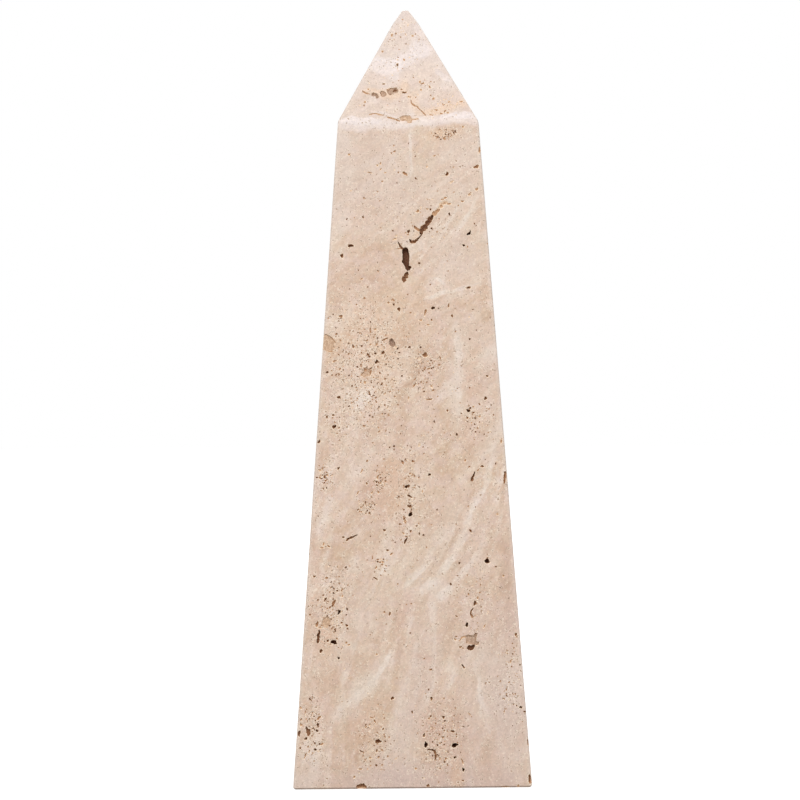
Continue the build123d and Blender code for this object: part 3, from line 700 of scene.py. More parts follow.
def lay_flat(mesh):
    """A map for baking: the four sides next to each other, then the underside."""
    vertex = np.empty(len(mesh.loops), np.int32)
    mesh.loops.foreach_get("vertex_index", vertex)
    place = np.empty(3 * len(mesh.vertices), np.float32)
    mesh.vertices.foreach_get("co", place)
    place = place.reshape(-1, 3)[vertex] / MM
    middle = place.reshape(-1, 3, 3).mean(axis=1).repeat(3, axis=0)
    x, y, z = place.T
    ahead = np.abs(middle[:, 1]) >= np.abs(middle[:, 0])
    side = np.where(ahead, 1 + np.sign(middle[:, 1]), 2 - np.sign(middle[:, 0])).astype(int)
    side[middle[:, 2] < FOOT_LEVEL] = UNDERSIDE
    across = np.choose(side, [x, y, -x, -y, -x])
    up = np.where(side == UNDERSIDE, y + BASE_HALF, z)
    pitch = 2 * BASE_HALF + MAP_GAP
    places = UNDERSIDE + 1
    flat = np.stack([((side + 0.5) * pitch + across) / (places * pitch),
                     (up + MAP_GAP / 2) / (HEIGHT + MAP_GAP)], axis=1)
    mesh.uv_layers.new(name="OFBake").data.foreach_set("uv", flat.astype(np.float32).ravel())


def place_voids(cutters, face, draw, hollows, troughs, pits):
    """The voids of the front that have places of their own; hollows are sorted by material."""
    for kind, shapes in hollows.items():
        for depth, corners in shapes:
            add_hollow(cutters, face, depth, corners, draw, kind)
    for depth, stations in troughs:
        add_ribbon(cutters, face, depth, stations, draw)
    for x, up, length, width, turn, darkness in pits:
        pit = (x, up, length * MOUTH_GROWTH, width * MOUTH_GROWTH, turn, darkness)
        add_pit(cutters, face, pit, draw)


def make_stone(surface, dark_void, pale_void):
    draw = random.Random(SEED)
    cutters = Cutters()
    face = shaft_face(0)
    hollows = {PALE_VOID: FRONT_SHAFT_HOLLOWS, DARK_VOID: FRONT_SHAFT_VUGS}
    place_voids(cutters, face, draw, hollows, FRONT_SHAFT_TROUGHS, FRONT_SHAFT_PITS)
    scatter_pores(cutters, face, FRONT_SHAFT_PORES, draw)
    top = pyramidion_face(0)
    hollows = {PALE_VOID: FRONT_PYRAMIDION_HOLLOWS}
    place_voids(cutters, top, draw, hollows, FRONT_PYRAMIDION_TROUGHS, FRONT_PYRAMIDION_PITS)
    scatter_pores(cutters, top, FRONT_PYRAMIDION_PORES, draw, darknesses=(0, 0, 1))
    for turn, voids in ((90, RIGHT_SHAFT_VOIDS), (180, BACK_SHAFT_VOIDS), (270, LEFT_SHAFT_VOIDS)):
        face = shaft_face(turn)
        for depth, stations in voids:
            add_ribbon(cutters, face, depth, face.from_shares(stations), draw)
        grow_pits(cutters, face, draw, clusters=16, singles=70)
        scatter_pores(cutters, face, SIDE_SHAFT_PORES, draw)
        top = pyramidion_face(turn)
        grow_pits(cutters, top, draw, clusters=4, singles=18)
        scatter_pores(cutters, top, SIDE_PYRAMIDION_PORES, draw)
    stone = stone_body()
    stone.data.materials.append(surface)
    cut(stone, cutters, [dark_void, pale_void])
    lay_flat(stone.data)
    return stone


# ---------------------------------------------------------------- materials

def srgb(red, green, blue):
    """A colour written as 0 to 255, as the shader wants it."""
    def linear(value):
        value /= 255
        return value / 12.92 if value <= 0.04045 else ((value + 0.055) / 1.055) ** 2.4
    return (linear(red), linear(green), linear(blue), 1.0)


class Tree:
    """Short calls that add nodes to a material or a world and link them."""

    def __init__(self, owner):
        owner.use_nodes = True
        self.owner = owner
        self.nodes = owner.node_tree.nodes
        self.links = owner.node_tree.links
        self.nodes.clear()

    def add(self, kind, inputs=(), output=0, **settings):
        """Adds a node whose inputs are sockets or values, and gives one of its outputs."""
        node = self.nodes.new("ShaderNode" + kind)
        for name, value in settings.items():
            setattr(node, name, value)
        for name, value in dict(inputs).items():
            if isinstance(value, bpy.types.NodeSocket):
                self.links.new(value, node.inputs[name])
            else:
                node.inputs[name].default_value = value
        return node.outputs[output] if node.outputs else None

    def math(self, operation, *values, clamp=False):
        return self.add("Math", dict(enumerate(values)), operation=operation, use_clamp=clamp)

    def sway(self, noise_value, amount, base):
        """The base plus or minus half the amount, as the noise goes."""
        return self.math("MULTIPLY_ADD", self.math("SUBTRACT", noise_value, 0.5), amount, base)

    def vector(self, operation, *values, output=0, **named):
        inputs = dict(enumerate(values)) | {name.title(): value for name, value in named.items()}
        return self.add("VectorMath", inputs, output, operation=operation)

    def noise(self, place, scale, detail=2.0, roughness=0.5, output=0):
        return self.add("TexNoise", {"Vector": place, "Scale": scale, "Detail": detail,
                        "Roughness": roughness}, output)

    def wander(self, place, scale, detail):
        """A step in each direction of up to a half, as a noise goes."""
        colour = self.noise(place, scale, detail, output=1)
        return self.vector("SUBTRACT", colour, (0.5, 0.5, 0.5))

    def moved(self, place, step, reach):
        """The place after a step that is made this many times as long."""
        return self.vector("MULTIPLY_ADD", step, (reach, reach, reach), place)

    def mix(self, share, first, second):
        """The first colour with a share of the second; the numbers are the colour sockets' places."""
        return self.add("Mix", {0: share, 6: first, 7: second}, 2, data_type="RGBA")

    def ramp(self, value, stops):
        """Colours at places from 0 to 1, blended in between."""
        output = self.add("ValToRGB", {"Fac": value})
        elements = output.node.color_ramp.elements
        for element, (position, colour) in zip(elements, (stops[0], stops[-1])):
            element.position = position
            element.color = srgb(*colour)
        for position, colour in stops[1:-1]:
            elements.new(position).color = srgb(*colour)
        return output

    def remap(self, value, low, high, to_low=0.0, to_high=1.0, smooth=False):
        """A value carried from one range to another; a smooth one stays inside without a clamp."""
        return self.add("MapRange", {"Value": value, "From Min": low, "From Max": high,
                        "To Min": to_low, "To Max": to_high}, clamp=not smooth,
                        interpolation_type="SMOOTHSTEP" if smooth else "LINEAR")


# Soft marks on the front of the shaft: (x, up, length, width, turn of the length up from level,
# strength). Turns are multiples of 15 degrees, because each turn costs a node of its own.
LIGHT_MARKS = [
    (-17, 240, 18, 11, 15, 0.25), (-25, 231, 12, 9, 60, 0.7), (-6, 243, 9, 8, 0, 0.3),
    (0, 244, 16, 2.4, 90, 0.35), (1.5, 234, 11, 2, 90, 0.45), (0, 252.8, 58, 3, 0, 0.3),
    (-22, 214, 16, 11, 30, 0.25), (12, 211.5, 20, 3.4, 45, 0.4), (22, 213, 24, 5, 45, 0.25),
    (14, 203, 26, 4.4, 45, 0.2), (6, 196.5, 16, 3, 45, 0.3), (12, 192, 6, 2, 150, 0.6),
    (14, 188, 24, 2.8, 15, 0.3), (-15, 200, 7, 6, 0, 0.35), (17.5, 166, 12, 4.6, 75, 0.5),
    (18, 153, 34, 4.8, 90, 0.5), (26, 165, 16, 5, 15, 0.25), (31, 164, 12, 8, 15, 0.7),
    (12, 147.5, 8, 5, 15, 0.5), (33, 135, 24, 5, 75, 0.5), (-2, 163, 7, 3.4, 15, 0.25),
    (-18, 147, 11, 8, 45, 0.7), (-23, 118, 12, 8, 60, 0.3), (-19, 125, 10, 6, 30, 0.4),
    (-20, 84, 11, 8, 15, 0.6), (-32, 77, 11, 8, 15, 0.6), (-10, 82, 9, 5.5, 15, 0.7),
    (-21, 97, 11, 4, 15, 0.35), (-18, 65, 14, 9, 30, 0.35), (-3, 84, 20, 6, 60, 0.6),
    (6, 93, 20, 5.4, 45, 0.25), (22, 118, 22, 4, 60, 0.15), (30, 124, 24, 5, 75, 0.2),
    (0, 60, 18, 5.4, 75, 0.4), (3, 53, 16, 6.5, 90, 0.35), (8, 54, 20, 3.2, 90, 0.45),
    (-19, 37, 16, 9, 45, 0.7), (-12, 46, 16, 7, 45, 0.55), (-25, 30, 11, 7, 30, 0.5),
    (-8, 51, 10, 4, 45, 0.5), (-12, 60, 8, 7, 0, 0.5), (-28, 46, 14, 5.4, 120, 0.5),
    (-9, 14, 22, 6, 75, 0.25), (6.5, 35, 16, 3.4, 60, 0.6), (-37, 12, 11, 8, 15, 0.5),
    (-42, 3, 9, 9, 0, 0.4), (22, 50, 11, 4, 45, 0.3), (30, 47, 22, 7, 165, 0.5), (26, 40, 26, 3.2, 90, 0.6),
    (28, 28, 16, 2.4, 105, 0.7), (35, 40, 26, 5.4, 90, 0.5), (39, 32, 22, 4, 90, 0.5),
    (33, 14, 32, 3.2, 105, 0.5), (22, 28, 38, 3.4, 90, 0.3), (38, 12, 28, 5.4, 90, 0.35),
    (15, 42, 18, 5, 75, 0.35), (43, 24, 26, 3, 90, 0.4), (-27, 215, 12, 10, 60, 0.5),
    (-28, 203, 8, 8, 0, 0.35), (31, 138, 16, 9, 75, 0.55), (2.2, 209.2, 4, 3, 45, 0.5),
    (-18, 163, 26, 22, 30, 0.2), (-27, 208, 12, 14, 90, 0.5), (33, 118, 10, 14, 90, 0.2),
    (22, 56, 16, 14, 90, 0.15), (-2, 116, 24, 22, 90, 0.2), (-4, 187, 12, 10, 0, 0.3),
    (-26, 246, 10, 14, 0, 0.4), (21, 249, 7, 6, 0, 0.4), (0, 72, 12, 9, 60, 0.2), (12, 142, 12, 6, 45, 0.25),
    (-26, 243, 12, 16, 90, 0.5), (-33, 118, 14, 12, 0, 0.3), (-10, 25, 30, 7, 75, 0.35),
    (10, 74, 14, 8, 60, 0.45), (14, 84, 18, 7, 45, 0.25), (20, 95, 18, 6, 60, 0.12),
    (-24, 247, 16, 10, 0, 0.4), (-42, 14, 10, 20, 90, 0.4), (42, 14, 8, 24, 90, 0.4),
    (-33, 131, 8, 10, 0, 0.4), (38, 45, 8, 12, 0, 0.3), (2, 74, 18, 7, 45, 0.55),
    (-25, 241, 26, 10, 90, 0.45), (-30, 104, 12, 9, 60, 0.35), (-31, 75, 10, 8, 60, 0.3),
    (2, 204, 9, 6, 60, 0.6), (-37, 134, 8, 14, 90, 0.3), (-14, 118, 10, 8, 60, 0.35),
    (24, 124, 10, 6, 60, 0.3), (-5, 76, 14, 7, 60, 0.4), (-37, 20, 12, 10, 0, 0.3),
    (-26, 212, 10, 8, 60, 0.3), (-22, 236, 10, 8, 45, 0.35), (-8, 247, 9, 6, 30, 0.35),
    (9, 226, 12, 5, 45, 0.3), (-12, 226, 12, 5, 30, 0.25),
]
# Light ones with a clearer edge
LIGHT_STREAKS = [
    (18.5, 158, 42, 3.6, 90, 0.51), (17.5, 172, 14, 3.4, 90, 0.41), (14, 149, 10, 3, 30, 0.41),
    (0.8, 242, 20, 1.6, 90, 0.85), (0.9, 233.5, 6, 1.5, 75, 0.68), (-3, 252.4, 24, 2, 0, 0.51),
    (8, 205, 20, 1.6, 45, 0.48), (14.5, 213.5, 22, 1.8, 60, 0.61), (12, 198, 18, 2.2, 45, 0.34),
    (21, 215, 18, 2, 60, 0.42), (16, 188, 26, 2, 15, 0.61), (11.5, 192, 6, 1.4, 150, 0.71),
    (27, 213, 12, 1.6, 75, 0.41), (4, 195, 10, 1.8, 60, 0.41), (-18, 147, 10, 6.5, 45, 0.61),
    (-17, 37, 16, 4.5, 45, 0.61), (-10.5, 46.5, 12, 3, 60, 0.61), (-25.5, 31.5, 8, 4, 30, 0.51),
    (-8.5, 16, 22, 2.6, 75, 0.34), (-4.5, 33, 18, 2.4, 75, 0.34), (7, 36, 16, 2, 75, 0.37),
    (8.6, 54, 16, 1.8, 90, 0.51), (25.5, 36, 24, 1.4, 90, 0.51), (28.5, 22, 16, 1.4, 105, 0.51),
    (34, 14, 20, 1.6, 105, 0.41), (36, 38, 16, 1.6, 90, 0.41), (-5, 236, 9, 1.5, 105, 0.51),
    (-2, 231.2, 6, 1.5, 0, 0.68), (1, 79.5, 13, 4, 45, 0.7), (7, 87, 12, 3.6, 60, 0.6),
    (12, 95, 12, 3.4, 60, 0.45), (15.5, 104, 12, 2.6, 75, 0.3), (6.5, 76, 12, 4.2, 45, 0.9),
    (13.5, 84, 12, 4, 45, 0.9), (18.5, 92.5, 12, 4, 60, 0.7), (21.5, 100.5, 12, 3.6, 75, 0.65),
    (25.5, 108.5, 12, 3.4, 60, 0.75), (29.5, 118, 18, 3.6, 75, 0.75), (8, 66, 10, 4.4, 90, 0.8),
    (12.5, 73, 11, 4.6, 45, 1), (19, 80.5, 13, 3, 45, 0.8), (25.3, 88, 12, 3.2, 60, 0.55),
    (28, 96.5, 12, 2.8, 75, 0.45), (31.5, 106, 14, 2.8, 60, 0.5), (34.2, 116, 12, 2.2, 75, 0.5),
    (35.5, 122, 10, 2, 90, 0.3), (9.5, 83.8, 12, 1.8, 45, -0.5), (14.5, 91.5, 12, 2, 60, -0.6),
    (17.8, 99.5, 12, 2, 75, -0.6), (22.3, 109, 16, 2.2, 60, -0.5), (17.5, 84.5, 13, 2.8, 45, -0.8),
    (22.6, 93, 12, 3.2, 60, -0.8), (25.2, 101, 10, 2.2, 75, -0.5), (28.8, 107.5, 14, 2, 60, -0.5),
    (32, 120, 14, 1.6, 75, -0.4), (29.8, 90, 10, 2.4, 60, -0.5), (31.5, 99, 12, 2, 75, -0.4),
    (19, 213, 24, 3, 45, 0.6), (10, 203.5, 14, 2.4, 45, 0.5), (5.5, 207, 8, 2, 60, 0.4),
    (24, 220, 12, 2.2, 60, 0.4), (13, 209, 20, 2, 45, -0.5), (16, 205, 20, 2.2, 45, -0.4),
    (4, 81.5, 16, 1.8, 45, 0.6), (11, 86.5, 14, 1.8, 60, 0.5), (16, 96, 14, 1.8, 60, 0.5),
    (23.5, 104.5, 14, 1.8, 60, 0.5), (33, 98, 16, 1.8, 75, 0.5), (37, 112, 12, 1.8, 75, 0.4),
    (-22, 34.5, 12, 2, 45, 0.5), (-13, 42.5, 12, 2, 45, 0.5), (-19.5, 31.5, 12, 1.8, 45, -0.6),
    (-12, 37.5, 12, 1.8, 60, -0.5), (-1, 60, 16, 1.8, 75, 0.4), (1.5, 50, 14, 1.8, 90, 0.4),
    (-6, 66, 12, 1.8, 75, -0.4), (26.8, 31, 18, 1.6, 105, 0.5), (24, 44, 10, 1.8, 105, 0.5),
    (30.5, 30, 16, 1.8, 105, -0.4),
]
TAN_MARKS = [
    (-17, 222, 16, 8, 15, 0.45), (-17, 206, 16, 11, 15, 0.6), (-8, 207, 14, 8, 15, 0.6),
    (-28, 207, 9, 7, 0, 0.3), (-15, 193, 14, 10, 15, 0.7), (-27, 193, 11, 11, 0, 0.4),
    (-10, 200, 11, 13, 90, 0.3), (15, 215, 18, 3.4, 60, 0.7), (6, 203, 18, 3, 45, 0.4),
    (5, 190.5, 6, 4, 45, 0.6), (28, 189, 14, 5, 90, 0.6), (29, 178, 14, 5, 90, 0.4),
    (24, 177, 16, 12, 75, 0.3), (6, 160, 24, 13, 60, 0.25), (9, 178, 14, 11, 30, 0.35),
    (3, 161, 18, 5.2, 60, 0.6), (-3, 148, 18, 6.5, 75, 0.6), (-3, 136, 20, 6.5, 75, 0.6),
    (1, 170, 14, 5.4, 60, 0.4), (13.5, 143.5, 12, 8, 45, 0.5), (13, 124, 16, 6.5, 90, 0.65),
    (14, 133, 14, 6.5, 75, 0.4), (-14, 114, 11, 7, 30, 0.5), (-8, 112, 16, 13, 60, 0.2),
    (-13, 104, 20, 13, 60, 0.2), (-5, 55, 18, 5.4, 75, 0.5), (36.5, 78, 26, 6, 90, 0.75),
    (36, 92, 14, 5.4, 75, 0.6), (28, 72, 18, 11, 75, 0.35), (34, 57, 16, 8, 75, 0.4),
    (36, 50, 11, 8, 75, 0.4), (-33, 91, 10, 7, 0, 0.6), (-20, 46, 11, 13, 60, 0.6),
    (-26, 40, 14, 7, 30, 0.5), (-9, 33, 14, 8, 60, 0.4), (-14, 18, 18, 13, 75, 0.3),
    (-23, 20, 11, 16, 75, 0.5), (-26, 6, 18, 11, 30, 0.6), (12, 30, 18, 16, 75, 0.55),
    (9, 12, 18, 16, 75, 0.6), (17, 14, 34, 8, 90, 0.75), (12, 3, 16, 7, 0, 0.4), (-37, 20, 16, 11, 60, 0.25),
    (24, 57, 18, 13, 60, 0.25), (39, 66, 34, 8, 90, 0.6), (-38, 93, 20, 9, 90, 0.5),
    (-9, 93, 14, 9, 45, 0.3), (-36, 125, 14, 10, 90, 0.4), (-15, 202, 26, 12, 15, 0.2),
    (-41, 96, 12, 10, 90, 0.6), (-34, 129, 14, 9, 90, 0.4), (18, 201, 22, 16, 45, 0.35),
    (-40, 95, 14, 12, 90, 0.5), (-25, 128, 12, 14, 0, 0.4), (2, 154, 22, 9, 60, 0.2),
    (-30, 176, 10, 12, 0, 0.15), (-17, 190, 14, 8, 30, 0.4), (12, 61, 12, 6, 90, 0.35),
    (36, 65, 16, 8, 90, 0.7), (13, 40, 12, 6, 75, 0.5), (-38, 97, 14, 7, 90, 0.7),
    (-14, 165, 30, 22, 45, 0.15), (36, 79, 16, 7, 90, 0.5), (31, 90, 10, 5, 60, 0.4),
    (-6, 198, 10, 6, 45, 0.3), (6, 166, 18, 8, 60, 0.45), (-14, 64, 12, 12, 0, 0.35),
    (24, 168, 16, 6, 90, 0.3), (2, 190, 12, 6, 45, 0.35), (22, 35, 14, 6, 75, 0.4),
    (-10, 204, 10, 8, 45, 0.2), (24, 99, 20, 6, 60, 0.35), (9, 64, 10, 6, 90, 0.35),
    (-31, 42, 14, 8, 60, 0.4), (1, 159, 14, 7, 60, 0.35), (14, 34, 12, 6, 75, 0.3),
    (-16, 231, 12, 5, 30, 0.35), (12, 237, 10, 6, 60, 0.3), (-3, 226, 10, 5, 30, 0.3),
]
# Where the stone is greyer
COOL_MARKS = [
    (-14, 235, 56, 44, 90, 0.8), (14, 225, 56, 40, 60, 0.6), (19, 200, 26, 28, 60, 0.7),
    (18, 158, 50, 9, 90, 0.6), (31, 160, 26, 12, 90, 0.6), (31, 132, 30, 12, 75, 0.6),
    (12, 86, 60, 28, 60, 0.5), (38, 30, 50, 20, 90, 0.5), (28, 36, 44, 24, 90, 0.5),
    (4, 45, 60, 20, 75, 0.5), (-4, 16, 50, 18, 75, 0.5), (-18, 38, 34, 13, 45, 0.5),
    (-22, 65, 44, 30, 60, 0.4), (-40, 6, 24, 16, 60, 0.6), (-19, 147, 12, 9, 30, 0.5),
    (-20, 122, 26, 14, 60, 0.3), (0, 4, 80, 10, 0, 0.4), (-26, 246, 14, 18, 0, 0.6),
    (-27, 230, 60, 10, 90, 0.5), (20, 243, 20, 16, 0, 0.6), (24, 174, 18, 16, 90, 0.5),
    (35, 32, 30, 14, 90, 0.4),
]
# Where the stone is darker and a little violet
VIOLET_MARKS = [
    (36, 20, 80, 22, 90, 0.9), (27, 58, 40, 22, 90, 0.7), (20, 14, 44, 16, 90, 0.7), (0, 4, 90, 12, 0, 0.9),
    (4, 45, 30, 14, 75, 0.4), (-4, 14, 40, 14, 75, 0.5), (38, 75, 50, 10, 90, 0.5),
    (-15, 235, 30, 40, 0, 0.3), (38, 62, 20, 10, 90, 0.5), (0, 2, 90, 8, 0, 0.5),
]
# Where the stone is yellower
YELLOW_MARKS = [
    (12.5, 247.5, 15, 6.5, 0, 0.9), (-8, 176, 44, 28, 30, 0.45), (-22, 165, 32, 24, 30, 0.3),
    (-10, 119, 14, 10, 0, 0.9), (-32, 57, 18, 12, 75, 1), (-17, 26, 20, 14, 60, 0.4),
    (18, 4, 14, 7, 90, 0.9), (-13, 154, 18, 12, 30, 0.5), (-30, 168, 9, 8, 0, 0.8),
    (-9, 162, 16, 10, 0, 0.5), (-6, 110, 14, 24, 0, 0.7), (-32, 72, 18, 12, 0, 0.4),
    (2.2, 209.2, 5, 4, 45, 0.9),
]
# Where the stone is pinker
PINK_MARKS = [
    (24, 152, 11, 18, 0, 0.7), (31, 158, 9, 11, 0, 0.5), (-3, 66, 22, 4.6, 75, 0.9),
    (-37, 85, 26, 5.4, 90, 0.7), (-36, 68, 14, 8, 60, 0.6), (8, 23, 14, 12, 60, 0.7),
    (4.5, 48, 4.5, 10, 75, 0.8), (3, 222, 10, 8, 30, 0.4), (-5, 212, 10, 6, 15, 0.5),
    (22, 135, 14, 10, 75, 0.4), (32, 10, 20, 10, 75, 0.4), (-4, 100, 14, 10, 60, 0.3),
    (-10, 112, 26, 22, 60, 0.6), (12, 18, 40, 20, 90, 0.8), (6, 157, 20, 12, 60, 0.5),
    (-33, 40, 40, 14, 90, 0.4), (-34, 58, 14, 14, 90, 0.7), (-18, 24, 22, 12, 60, 0.5),
    (-12, 116, 18, 12, 60, 0.4), (3, 32, 24, 10, 75, 0.4),
]
# Where the stone is finely porous
PORE_MARKS = [
    (-17, 156, 64, 34, 75, 1), (-33, 117, 14, 9, 75, 0.8), (-11, 115, 14, 10, 75, 0.8),
    (-17, 106, 12, 10, 60, 0.8), (-1, 108, 48, 12, 90, 0.7), (6, 157, 26, 14, 75, 0.7),
    (-30, 67, 42, 20, 75, 0.9), (-38, 23, 30, 12, 90, 0.9), (-15, 17, 28, 16, 75, 0.7),
    (11, 18, 40, 20, 90, 0.7), (37, 40, 44, 14, 90, 0.5), (22, 70, 34, 18, 75, 0.4),
    (14, 248, 16, 6, 0, 0.9), (24, 140, 20, 14, 0, 0.5),
]
# On the front of the pyramidion
TOP_LIGHT_MARKS = [
    (-8, 27, 16, 9.5, 0, 0.7), (0, 28.8, 15, 8, 15, 0.6), (6.5, 34.5, 10, 9, 45, 0.8),
    (-11, 30, 6, 4, 0, 0.4), (-5, 22.5, 8, 4, 45, 0.5), (14.5, 22, 9, 3.5, 120, 0.5),
    (20, 2.2, 16, 4.4, 0, 0.8), (-18, 1.4, 20, 3.4, 0, 0.7), (1.5, 3.6, 5, 2.6, 0, 0.5),
    (-8, 4.2, 12, 1.6, 165, 0.5), (6, 43, 10, 3, 120, 0.4), (16, 17, 8, 8, 0, 0.25),
]
TOP_TAN_MARKS = [
    (-7, 7, 16, 5, 0, 0.7), (-14, 20, 10, 5, 0, 0.7), (9.5, 25.5, 8, 10, 0, 0.9), (5, 21.5, 14, 6, 0, 0.7),
    (8, 14, 14, 9, 0, 0.5), (-1, 37, 12, 7, 0, 0.6), (-1, 43, 8, 10, 0, 0.7), (-20, 7, 8, 6, 60, 0.4),
    (1, 48, 5, 5, 0, 0.9), (0, 20, 12, 5, 0, 0.6), (18, 12, 9, 6, 120, 0.4),
]
TOP_YELLOW_MARKS = [
    (-10, 13.5, 18, 6, 0, 0.8), (-2.5, 16.5, 7, 7, 0, 0.6), (11, 5, 20, 6, 15, 0.7), (3, 8, 5, 8, 30, 0.5),
    (-0.5, 1.5, 9, 4, 0, 0.9), (21, 8, 5, 5, 0, 0.5), (2, 12, 6, 6, 0, 0.4),
]
MARK_DEPTH = 16  # how far a mark reaches into the stone, and so round an arris


def mark_weights(tree, place, face, frames, marks, inner=0.25, outer=1.25):
    """The summed weight of soft ellipsoids that lie in a face.

    Each is whole inside its inner share and gone outside its outer one. frames keeps one turned
    copy of the place for each way that a mark lies.
    """
    total = None
    for x, up, length, width, turn, strength in marks:
        angle = math.radians(turn)
        if turn not in frames:
            rotation = Matrix(face.matrix[:3, :3].tolist()) @ Matrix.Rotation(angle, 3, "Z")
            inputs = {"Vector": place, "Rotation": tuple(rotation.to_euler()),
                      "Location": tuple(face.matrix[:3, 3])}
            frames[turn] = tree.add("Mapping", inputs, vector_type="TEXTURE")
        along, aside = turned(x, up, -angle)
        scale = (2 / length, 2 / width, 1 / MARK_DEPTH)
        local = tree.vector("MULTIPLY_ADD", frames[turn], scale, (-along * scale[0], -aside * scale[1], 0))
        distance = tree.vector("LENGTH", local, output=1)
        weight = tree.remap(distance, inner, outer, strength, 0.0, smooth=True)
        total = weight if total is None else tree.math("ADD", total, weight)
    return total


# Pale stone, also used as painted highlight: on the rings round specks and on the rims of voids.
PALE_RIM_AND_HIGHLIGHT = (250, 236, 218)
# Brown of the micropores, partly painted shade inside them.
SPECK_BROWN_AND_SHADE = (164, 124, 92)
BEDDING_CENTRE = (176.0, -8.0)  # the bands are arcs round this place in the front's plane
BEDDING_RADIUS = 200.0  # of the arc along which a turn round that place is measured
STREAK_STRENGTH = 1.3
# The stone's tone, from its darkest band to its lightest
STONE_TONES = [(0.0, (186, 152, 125)), (0.3, (204, 174, 150)), (0.5, (213, 186, 165)),
               (0.7, (223, 202, 185)), (1.0, (233, 219, 207))]
# Marks over the tone: the marks, how much they cover, their colour, and their edges if sharper
SHAFT_TINTS = [(COOL_MARKS, 0.6, (216, 197, 183)), (VIOLET_MARKS, 0.5, (207, 183, 172)),
               (YELLOW_MARKS, 0.55, (213, 178, 146)), (PINK_MARKS, 0.5, (206, 172, 154))]
PYRAMIDION_TINTS = [(TOP_LIGHT_MARKS, 0.8, (233, 221, 218), 0.6, 1.1),
                    (TOP_TAN_MARKS, 0.7, (222, 202, 188), 0.4, 1.2),
                    (TOP_YELLOW_MARKS, 0.7, (230, 196, 164))]


def place_in_stone(tree):
    """The shaded place, in millimetres."""
    return tree.vector("SCALE", tree.add("TexCoord", output="Object"), scale=1 / MM)


def tinted(ground, colour, tints):
    """The colour under layers of marks; ground is what mark_weights needs first."""
    tree = ground[0]
    for marks, share, over, *edges in tints:
        cover = tree.math("MULTIPLY", mark_weights(*ground, marks, *edges), share, clamp=True)
        colour = tree.mix(cover, colour, srgb(*over))
    return colour


def bedding_place(tree, place):
    """A place as (distance from the bedding's centre, way round it, depth), with the beds askew."""
    x, y, z = tree.add("SeparateXYZ", {"Vector": place}).node.outputs
    sheared_x = tree.math("MULTIPLY_ADD", y, 0.45, x)
    sheared_z = tree.math("MULTIPLY_ADD", y, -0.3, z)
    from_x = tree.math("SUBTRACT", BEDDING_CENTRE[0], sheared_x)
    from_z = tree.math("SUBTRACT", sheared_z, BEDDING_CENTRE[1])
    squares = tree.math("ADD", tree.math("POWER", from_x, 2.0), tree.math("POWER", from_z, 2.0))
    along = tree.math("MULTIPLY", tree.math("ARCTAN2", from_z, from_x), BEDDING_RADIUS)
    return tree.add("CombineXYZ", {"X": tree.math("SQRT", squares), "Y": along, "Z": y}), y, z


